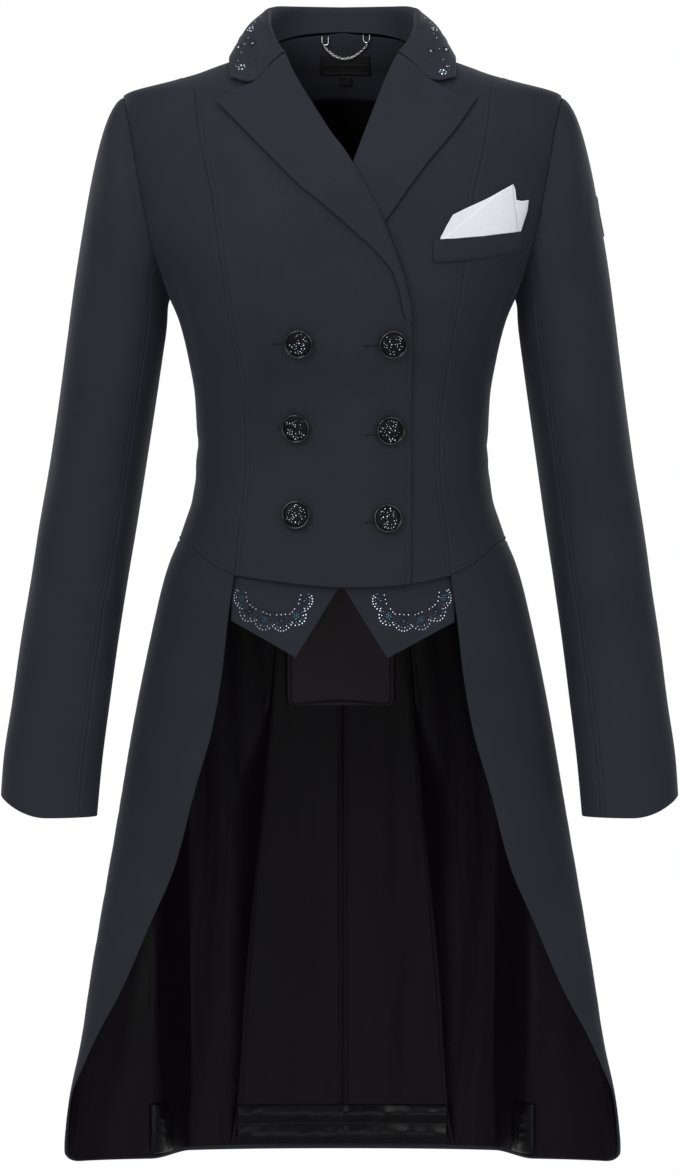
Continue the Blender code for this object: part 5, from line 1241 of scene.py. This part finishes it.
# ------------------------------------------------------------------ stitches: short raised threads laid in their groove
def stitch_line(P, N, pitch=0.0030, length=0.0023, r=0.00016, lift_by=0.00005):
    """P, N: a dense line of points with normals. Returns the parts of one joined mesh."""
    d = np.linalg.norm(np.diff(P, axis=0), axis=1)
    s = np.concatenate([[0], np.cumsum(d)])
    parts = []
    k = np.arange(0.0012, s[-1] - length, pitch)
    if not len(k):
        return parts

    def at(q):
        return (np.stack([np.interp(q, s, P[:, c]) for c in range(3)], -1),
                unit(np.stack([np.interp(q, s, N[:, c]) for c in range(3)], -1)))
    frac = [0.0, 0.16, 0.5, 0.84, 1.0]
    high = [-0.25, 0.75, 1.25, 0.75, -0.25]
    rad = [0.35, 1.0, 1.1, 1.0, 0.35]
    rings = []
    for f, h, w in zip(frac, high, rad):
        p, n = at(k + length * f)
        p2, _ = at(k + length * f + 0.0003)
        p1, _ = at(k + length * f - 0.0003)
        t = unit(p2 - p1)
        side = np.cross(t, n)
        c = p + n * (lift_by + r * h)
        ring = [c + side * (r * w * math.cos(a)) + n * (r * w * math.sin(a)) for a in np.linspace(0, 2 * math.pi, 6)[:-1]]
        rings.append(np.stack(ring, 1))
    V = np.stack(rings, 1).reshape(len(k), -1, 3)        # stitches, 25 points
    i = np.arange(5)
    j = (i + 1) % 5
    F = [np.stack([m * 5 + i, m * 5 + j, (m + 1) * 5 + j, (m + 1) * 5 + i], 1) for m in range(4)]
    F = np.concatenate(F)
    caps = np.array([[0, 1, 2, 3], [0, 3, 4, 4], [20, 21, 22, 23], [20, 23, 24, 24]])
    F = np.concatenate([F, ])
    for q in range(len(k)):
        parts.append((V[q], F))
    return parts


STITCH = []


def stitched(G, side, h, edge, at, u0=0.0, u1=1.0):
    """Stitches along one edge of a panel grid function, at a distance from the edge."""
    P, N = place(G, side, h)
    if edge in "lr":
        s, w = run(P, 1)
        s = s if edge == "l" else w - s
        out, nn = [], []
        for j in range(P.shape[0]):
            o = np.argsort(s[j])
            out.append([np.interp(at, s[j][o], P[j, o, c]) for c in range(3)])
            nn.append([np.interp(at, s[j][o], N[j, o, c]) for c in range(3)])
    else:
        s, w = run(P, 0)
        s = s if edge == "b" else w - s
        out, nn = [], []
        for i in range(P.shape[1]):
            o = np.argsort(s[:, i])
            out.append([np.interp(at, s[o, i], P[o, i, c]) for c in range(3)])
            nn.append([np.interp(at, s[o, i], N[o, i, c]) for c in range(3)])
    out, nn = np.array(out), unit(np.array(nn))
    m = len(out)
    a, b = int(u0 * (m - 1)), int(u1 * (m - 1)) + 1
    STITCH.extend(stitch_line(out[a:b], nn[a:b]))


DEEP = -0.00036
for name, s in SIDES:
    hh = (lambda x, z: lift(x, z) + DEEP) if s < 0 else DEEP
    Gf_ = grid_front(s, U_F, V_SIDE)
    stitched(Gf_, s, hh, "r", 0.0045, 0.02, 0.985)
    if s < 0:
        stitched(Gf_, s, hh, "l", 0.0045, 0.02, 0.46)
    stitched(grid_side_front(U_SF, V_SIDE), s, DEEP, "b", 0.0045)
    stitched(grid_side_back(U_SB, V_SIDE), s, DEEP, "b", 0.0045)
    stitched(grid_back(U_B, V_B), s, DEEP, "l", 0.0045, 0.01, 0.97)
joined("topstitching", STITCH, M_THREAD)

# stitching round the flap's border, and buttonholes
small = []
zb = np.linspace(FLAP_BOT + 0.0052, -0.445, 60)
for xq in (FLAP_X0 - 0.0052, FLAP_X1 + 0.0052):
    q, n = surf(np.full_like(zb, xq), zb, LIN - LINING - 0.0022 - 0.0014 + 0.0004, True)
    small += stitch_line(q, -n, 0.0028, 0.0021)
xb = np.linspace(FLAP_X0 - 0.0052, FLAP_X1 + 0.0052, 60)
q, n = surf(xb, np.full_like(xb, FLAP_BOT + 0.0052), LIN - LINING - 0.0022 - 0.0014 + 0.0004, True)
small += stitch_line(q, -n, 0.0028, 0.0021)
joined("flap_stitching", small, M_THREAD)

HOLES = [(-0.0603, -0.0497, -0.2590, 1), (0.0172, 0.0330, -0.2606, 1), (0.0181, 0.0296, -0.3374, 1), (0.0181, 0.0290, -0.4130, 1),
         (-0.0560, -0.0500, -0.3318, 1)]
holes, slit_shades = [], []
for x0, x1, z, _ in HOLES:
    xx = np.linspace(x0, x1, 24)
    zz = z + (0.0010 * (xx - x0) / (x1 - x0) if x1 - x0 > 0.008 else 0 * xx)
    for dz in (-0.00075, 0.00075):
        q, n = surf(xx, zz + dz)
        q = q + n * lift(xx, zz)[..., None]
        holes += stitch_line(q, n, 0.00062, 0.00055, 0.00026, 0.0000)
    # a near-black strip set into each buttonhole's cut stands for the shade in the slit: painted shade
    q, n = surf(xx, zz)
    q = q + n * (lift(xx, zz) + 0.00008)[..., None]
    w = np.array([0, 0, 0.00042])
    V = np.concatenate([q - w, q + w, q - w - n * 0.0004, q + w - n * 0.0004])
    m = len(xx)
    i = np.arange(m - 1)
    F = np.concatenate([np.stack([i, i + 1, m + i + 1, m + i], 1), np.stack([2 * m + i + 1, 2 * m + i, 3 * m + i, 3 * m + i + 1], 1),
                        np.stack([i + 1, i, 2 * m + i, 2 * m + i + 1], 1), np.stack([m + i, m + i + 1, 3 * m + i + 1, 3 * m + i], 1),
                        [[0, m, 3 * m, 2 * m], [m - 1, 3 * m - 1, 4 * m - 1, 2 * m - 1]]])
    slit_shades.append((V, F))
joined("buttonhole_threads", holes, M_THREAD)
joined("buttonhole_slit_painted_shade", slit_shades, hard_material("slit_painted_shade_look", (0.0015, 0.0015, 0.002), 0.9, bump=0.2))

# ------------------------------------------------------------------ crystal trim, a general garland of scallops and rosettes
clear, teal, jet = [], [], []


def gem(bucket, x, z, r, off, wiggle=0.0):
    q, n = surf(x, z, off)
    bucket.append(stone(q + n * 0.00005, n, r, rng.uniform(0, 1), 0.66, 8))


for s in (1, -1):
    # centre line of the garland, from the outer top corner round to the inner top
    path = np.array([(0.0915, -0.4700), (0.0885, -0.4850), (0.0775, -0.4945), (0.0615, -0.5000), (0.0460, -0.4990),
                     (0.0345, -0.4880), (0.0300, -0.4730)])
    t = np.linspace(0, 1, 7)
    tt = np.linspace(0, 1, 400)
    cx, cz = pchip([(a, p[0]) for a, p in zip(t, path)], 1)(tt), pchip([(a, p[1]) for a, p in zip(t, path)], 1)(tt)
    ds = np.concatenate([[0], np.cumsum(np.hypot(np.diff(cx), np.diff(cz)))])
    off = -0.0054

    def on(q, side_off):
        x, z = np.interp(q, ds, cx), np.interp(q, ds, cz)
        x2, z2 = np.interp(q + 0.001, ds, cx), np.interp(q + 0.001, ds, cz)
        x1, z1 = np.interp(q - 0.001, ds, cx), np.interp(q - 0.001, ds, cz)
        L = math.hypot(x2 - x1, z2 - z1)
        nx, nz = (z2 - z1) / L, -(x2 - x1) / L
        return (x + nx * side_off), (z + nz * side_off)
    total = ds[-1]
    n_sc = 6
    for k in range(n_sc):
        q0, q1 = total * k / n_sc, total * (k + 1) / n_sc
        w = q1 - q0
        grow = 0.75 + 0.35 * math.sin(math.pi * (k + 0.5) / n_sc)
        # outer scallop of silver stones, then a teal one, then jet at its foot
        for m in range(7):
            a = m / 7
            x, z = on(q0 + w * a, -(0.0026 + 0.0042 * math.sin(math.pi * a)) * grow)
            gem(clear, s * x, z, 0.00074, off)
        for m in range(6):
            a = (m + 0.5) / 6
            x, z = on(q0 + w * a, -(0.0002 + 0.0038 * math.sin(math.pi * a)) * grow)
            gem(teal if m % 2 else clear, s * x, z, 0.00066, off)
        # rosette
        xc, zc = on(q0 + w * 0.5, 0.0018 * grow)
        gem(teal, s * xc, zc, 0.00092, off)
        for m in range(6):
            a = m * math.pi / 3 + 0.4 * k
            gem(jet if (k % 2) else teal, s * (xc + 0.0022 * math.cos(a)), zc + 0.0022 * math.sin(a), 0.00074, off)
        # three leaves above
        for m in range(3):
            for g in range(3):
                a = (m - 1) * 0.7
                x, z = on(q0 + w * (0.5 + 0.16 * (m - 1) + 0.10 * g * (m - 1)), (0.0050 + 0.0017 * g) * grow)
                gem(jet if g != 1 else clear, s * x, z, 0.00070, off)
    for m in range(int(total / 0.0021)):
        x, z = on(0.0010 + m * 0.0021, 0.0)
        if m % 3 != 1:
            gem(jet if m % 2 else teal, s * x, z, 0.00060, off)
joined("waistcoat_stones_clear", clear, M_CLEAR, False)
joined("waistcoat_stones_teal", teal, M_TEAL, False)
joined("waistcoat_stones_jet", jet, M_JET, False)

# collar ends: a small spray of flowers on a curved stem, laid out on the leaf
clear, teal, jet = [], [], []
nr_c, nc_c = COLLAR_P.shape[:2]


def collar_at(v_signed, w):
    """v_signed -1..1 along the collar (sign is the side), w 0..1 across it to the free edge."""
    r = (v_signed + 1) / 2 * (nr_c - 1)
    # rows are not even in v, so look the place up by distance along the free edge
    edge = COLLAR_P[:, int(nc_c * 0.8)]
    s = np.concatenate([[0], np.cumsum(np.linalg.norm(np.diff(edge, axis=0), axis=1))])
    q = s[-1] * (v_signed + 1) / 2
    j = int(np.clip(np.searchsorted(s, q), 1, nr_c - 1))
    row, nrm = COLLAR_P[j], COLLAR_N[j]
    c = np.concatenate([[0], np.cumsum(np.linalg.norm(np.diff(row, axis=0), axis=1))])
    q2 = c[-1] * w
    return (np.array([np.interp(q2, c, row[:, k]) for k in range(3)]), unit(np.array([np.interp(q2, c, nrm[:, k]) for k in range(3)])))


def flower(v, w, r_big, petals, centre, outer, spread=0.0023):
    p, n = collar_at(v, w)
    a, b, d = basis(n)
    centre.append(stone(p, n, r_big, 0.3, 0.7))
    for m in range(petals):
        t = m * 2 * math.pi / petals
        outer.append(stone(p + a * spread * math.cos(t) + b * spread * math.sin(t), n, r_big * 0.78, t, 0.66))


for s in (1, -1):
    flower(s * 0.905, 0.78, 0.0012, 6, teal, clear, 0.0030)
    flower(s * 0.845, 0.56, 0.0011, 5, clear, jet, 0.0028)
    flower(s * 0.800, 0.80, 0.0011, 6, clear, jet, 0.0028)
    flower(s * 0.735, 0.58, 0.0010, 5, jet, clear, 0.0026)
    flower(s * 0.690, 0.78, 0.0009, 5, teal, jet, 0.0024)
    for m in range(22):
        a = m / 21
        p, n = collar_at(s * (0.93 - 0.30 * a), 0.88 - 0.46 * a + 0.05 * math.sin(a * 9))
        (jet if m % 2 else clear).append(stone(p, n, 0.00062, a, 0.66))
    for m in range(9):
        a = m / 8
        p, n = collar_at(s * (0.80 + 0.12 * a), 0.52 + 0.10 * math.sin(a * 3.1))
        (teal if m % 3 == 0 else jet).append(stone(p, n, 0.00060, a, 0.66))
joined("collar_stones_clear", clear, M_CLEAR, False)
joined("collar_stones_teal", teal, M_TEAL, False)
joined("collar_stones_jet", jet, M_JET, False)


# ------------------------------------------------------------------ chain and fittings
def tube_mesh(pts, r, sides=10, closed=False):
    pts = np.asarray(pts, float)
    n = len(pts)
    if closed:
        t = unit(np.roll(pts, -1, 0) - np.roll(pts, 1, 0))
    else:
        t = unit(np.gradient(pts, axis=0))
    centre = pts.mean(0)
    ref = unit(np.cross(pts[n // 3] - centre, pts[0] - centre + 1e-9))
    a = unit(np.cross(np.broadcast_to(ref, t.shape), t))
    b = np.cross(t, a)
    th = np.arange(sides) * 2 * np.pi / sides
    V = (pts[:, None] + (a[:, None] * np.cos(th)[None, :, None] + b[:, None] * np.sin(th)[None, :, None]) * r).reshape(-1, 3)
    m = n if closed else n - 1
    i, k = np.meshgrid(np.arange(m), np.arange(sides), indexing="ij")
    i2, k2 = (i + 1) % n, (k + 1) % sides
    Q = np.stack([(i * sides + k).ravel(), (i * sides + k2).ravel(), (i2 * sides + k2).ravel(), (i2 * sides + k).ravel()], 1)
    if not closed:
        extra = []
        for e, rev in ((0, True), (n - 1, False)):
            c = len(V)
            V = np.concatenate([V, [pts[e]]])
            ks = np.arange(0, sides, 1)
            extra.append(np.stack([e * sides + ks, e * sides + (ks + 1) % sides, np.full(sides, c), np.full(sides, c)], 1))
        tri = np.concatenate(extra)
        return V, Q, tri
    return V, Q, None


def inside_neck(x, z, off):
    ph = phi_of(x, z, True)
    p, n = body(ph, z), normal(ph, z)
    return p + n * np.asarray(LIN - LINING - off)[..., None], n


CH0, CH1, SAG = (-0.0165, 0.0138), (0.0228, 0.0158), 0.0095
links = []
tt = np.linspace(0, 1, 300)
cx = lin(CH0[0], CH1[0], tt)
cz = lin(CH0[1], CH1[1], tt) - SAG * 4 * tt * (1 - tt)
cp, cn = inside_neck(cx, cz, 0.0030 + 0.0006 * 4 * tt * (1 - tt))
cs = np.concatenate([[0], np.cumsum(np.linalg.norm(np.diff(cp, axis=0), axis=1))])
n_l = int(cs[-1] / 0.00180)
for k in range(n_l + 1):
    q = cs[-1] * k / n_l
    c = np.array([np.interp(q, cs, cp[:, i]) for i in range(3)])
    c2 = np.array([np.interp(min(q + 0.0008, cs[-1]), cs, cp[:, i]) for i in range(3)])
    c1 = np.array([np.interp(max(q - 0.0008, 0), cs, cp[:, i]) for i in range(3)])
    t = unit(c2 - c1)
    n = np.array([np.interp(q, cs, cn[:, i]) for i in range(3)])
    sdir = unit(np.cross(t, n))
    w = sdir if k % 2 else unit(n)
    w = unit(w + 0.35 * (unit(n) if k % 2 else sdir))
    th = np.linspace(0, 2 * np.pi, 17)[:-1]
    ring = c + t * (0.00142 * np.cos(th))[:, None] + w * (0.00085 * np.sin(th))[:, None]
    V, Q, _ = tube_mesh(ring, 0.00031, 7, True)
    links.append((V, Q))
joined("hang_chain_links", links, M_CHAIN, True, "hang_chain")
for name, (x, z0, z1) in (("left", (0.0228, 0.0178, 0.0246)), ("right", (-0.0165, 0.0158, 0.0230))):
    w = 0.0030
    th = np.linspace(0, np.pi, 17)
    arc = [(x - w * math.cos(t), z0 + 0.003 - 0.0030 * math.sin(t)) for t in th]
    pts = [(x - w * 1.02, z1)] + arc + [(x + w * 1.02, z1)]
    Pp = np.array([inside_neck(px, pz, 0.0022)[0] for px, pz in pts])
    V, Q, T = tube_mesh(Pp, 0.00085, 12)
    balls = [lathe(Pp[e] - np.array([0, 0, 0.0010]), (0, 0, 1), [(0.00105 * math.sin(a) + 1e-5, 0.00105 * (1 - math.cos(a))) for a in np.linspace(0, math.pi, 9)], 12) for e in (0, -1)]
    ob = joined("fitting_loop_" + name, [(V, Q)] + balls, M_CHAIN, True, "fitting_" + name)

# ------------------------------------------------------------------ sleeve badge, a plain lozenge with a raised rim
Pu, Nu = UPPER[1]


def sleeve_at(y, z):
    """Point on the outer face of the upper sleeve nearest to depth y at height z."""
    half = Pu[:60]
    d = (half[..., 1] - y) ** 2 + (half[..., 2] - z) ** 2 + 0.02 * np.maximum(0.19 - half[..., 0], 0)
    j, i = np.unravel_index(np.argmin(d), d.shape)
    return half[j, i], Nu[j, i]


lo_b, hi_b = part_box("sleeve_badge")
yc, zc = (lo_b[1] + hi_b[1]) / 2, (lo_b[2] + hi_b[2]) / 2
hy, hz = (hi_b[1] - lo_b[1]) / 2, (hi_b[2] - lo_b[2]) / 2
n_a, n_r = 48, 12
V, base_n = [], []
cp0, cn0 = sleeve_at(yc, zc)
a0, b0, d0 = basis(cn0)


def lozenge(t):
    c, s = math.cos(t), math.sin(t)
    r = (abs(c) ** 1.25 + abs(s) ** 1.25) ** (-1 / 1.25)
    return c * r, s * r


for k in range(n_r + 1):
    rho = 1.0 if k == 0 else 1.0 - (k - 1) / n_r * 0.999
    hgt = 0.0002 if k == 0 else (0.0011 if rho > 0.86 else 0.0006) + 0.0004 * math.exp(-((rho - 0.93) / 0.05) ** 2)
    for m in range(n_a):
        cx_, sz_ = lozenge(2 * math.pi * m / n_a)
        dy, dz = cx_ * hy * rho, sz_ * hz * rho
        # bend to the sleeve by its curvature across
        p = cp0 + a0 * dy * 1.0 + b0 * dz
        q, nq = sleeve_at(p[1], p[2])
        q = q - nq * np.dot(q - p, nq) * 0 + (p - q) - nq * np.dot(p - q, nq)
        V.append(q + nq * (hgt - (0.0012 if k == 0 else 0.0005)))
        base_n.append(nq)
V = np.array(V)
i = np.arange(n_a)
j = (i + 1) % n_a
Q = np.concatenate([np.stack([k * n_a + i, k * n_a + j, (k + 1) * n_a + j, (k + 1) * n_a + i], 1) for k in range(n_r)])
badge = joined("sleeve_badge_plain", [(V, Q)], M_BADGE, True, "sleeve_badge")
badge.data.materials.append(M_BADGE_RIM)
for f in badge.data.polygons:
    if f.index < n_a * 2:
        f.material_index = 1

# ------------------------------------------------------------------ sheet sizes, clamped and left unused
for ob, w, l, area in SHEETS:
    w, l = max(w, 0.0102), max(l, 0.0102)
    area = max(min(area, w * l), 0.3 * w * l * 1.001)

# ------------------------------------------------------------------ stage, lights, camera
bpy.ops.mesh.primitive_circle_add(vertices=96, radius=1.0, fill_type="NGON", location=(0, 0, -1.100))
floor = bpy.context.object
floor.name = "floor"
m, nt, b = nodes_of("floor_look")
tc = nt.nodes.new("ShaderNodeTexCoord")
n = add_node(nt, "ShaderNodeTexNoise", Scale=3.0, Detail=2.0)
ramp = nt.nodes.new("ShaderNodeValToRGB")
ramp.color_ramp.elements[0].color, ramp.color_ramp.elements[1].color = (0.86, 0.86, 0.86, 1), (0.90, 0.90, 0.90, 1)
nt.links.new(tc.outputs["Object"], n.inputs["Vector"])
nt.links.new(n.outputs["Fac"], ramp.inputs["Fac"])
nt.links.new(ramp.outputs["Color"], b.inputs["Base Color"])
b.inputs["Roughness"].default_value = 0.9
b.inputs["Specular IOR Level"].default_value = 0.1
floor.data.materials.append(m)

world = bpy.data.worlds.new("studio")
bpy.context.scene.world = world
world.use_nodes = True
bg = world.node_tree.nodes["Background"]
bg.inputs["Color"].default_value = (1.0, 1.0, 1.0, 1)
bg.inputs["Strength"].default_value = 1.0
wt = world.node_tree
soft = wt.nodes.new("ShaderNodeBackground")
soft.inputs["Color"].default_value = (0.96, 0.97, 1.0, 1)
soft.inputs["Strength"].default_value = 0.42
lp = wt.nodes.new("ShaderNodeLightPath")
wmix = wt.nodes.new("ShaderNodeMixShader")
wt.links.new(lp.outputs["Is Camera Ray"], wmix.inputs[0])
wt.links.new(soft.outputs[0], wmix.inputs[1])
wt.links.new(bg.outputs[0], wmix.inputs[2])
wt.links.new(wmix.outputs[0], wt.nodes["World Output"].inputs["Surface"])


def area_light(name, loc, target, size, power, size_y=None):
    data = bpy.data.lights.new(name, "AREA")
    data.energy = power
    data.shape = "RECTANGLE"
    data.size, data.size_y = size, size_y or size
    ob = bpy.data.objects.new(name, data)
    bpy.context.scene.collection.objects.link(ob)
    ob.location = loc
    d = np.array(target) - np.array(loc)
    from mathutils import Vector
    ob.rotation_euler = Vector(d).to_track_quat("-Z", "Y").to_euler()
    return ob


area_light("key", (-1.3, -2.6, 0.9), (0, 0, -0.45), 1.2, 38, 1.6)
area_light("fill", (1.5, -2.7, 0.1), (0, 0, -0.45), 1.2, 20, 1.6)
area_light("top", (0.0, -0.4, 1.6), (0, 0, -0.3), 1.4, 12)
area_light("back_left", (1.7, 2.6, 0.8), (0, 0, -0.45), 1.4, 30, 1.8)
area_light("back_right", (-1.9, 2.4, 0.5), (0, 0, -0.45), 1.4, 22, 1.8)
area_light("low", (0.0, -2.4, -1.0), (0, 0.05, -0.75), 1.4, 7, 0.5)

cam_data = bpy.data.cameras.new("camera")
cam = bpy.data.objects.new("camera", cam_data)
bpy.context.scene.collection.objects.link(cam)
cam.location = (-0.0022, -4.6, -0.46816)
cam.rotation_euler = (math.radians(90), 0, 0)
cam_data.sensor_width = 36.0
cam_data.lens = 18.0 * 4.6 / 0.51656
cam_data.clip_start, cam_data.clip_end = 0.1, 50
bpy.context.scene.camera = cam
bpy.context.scene.view_settings.view_transform = "Standard"
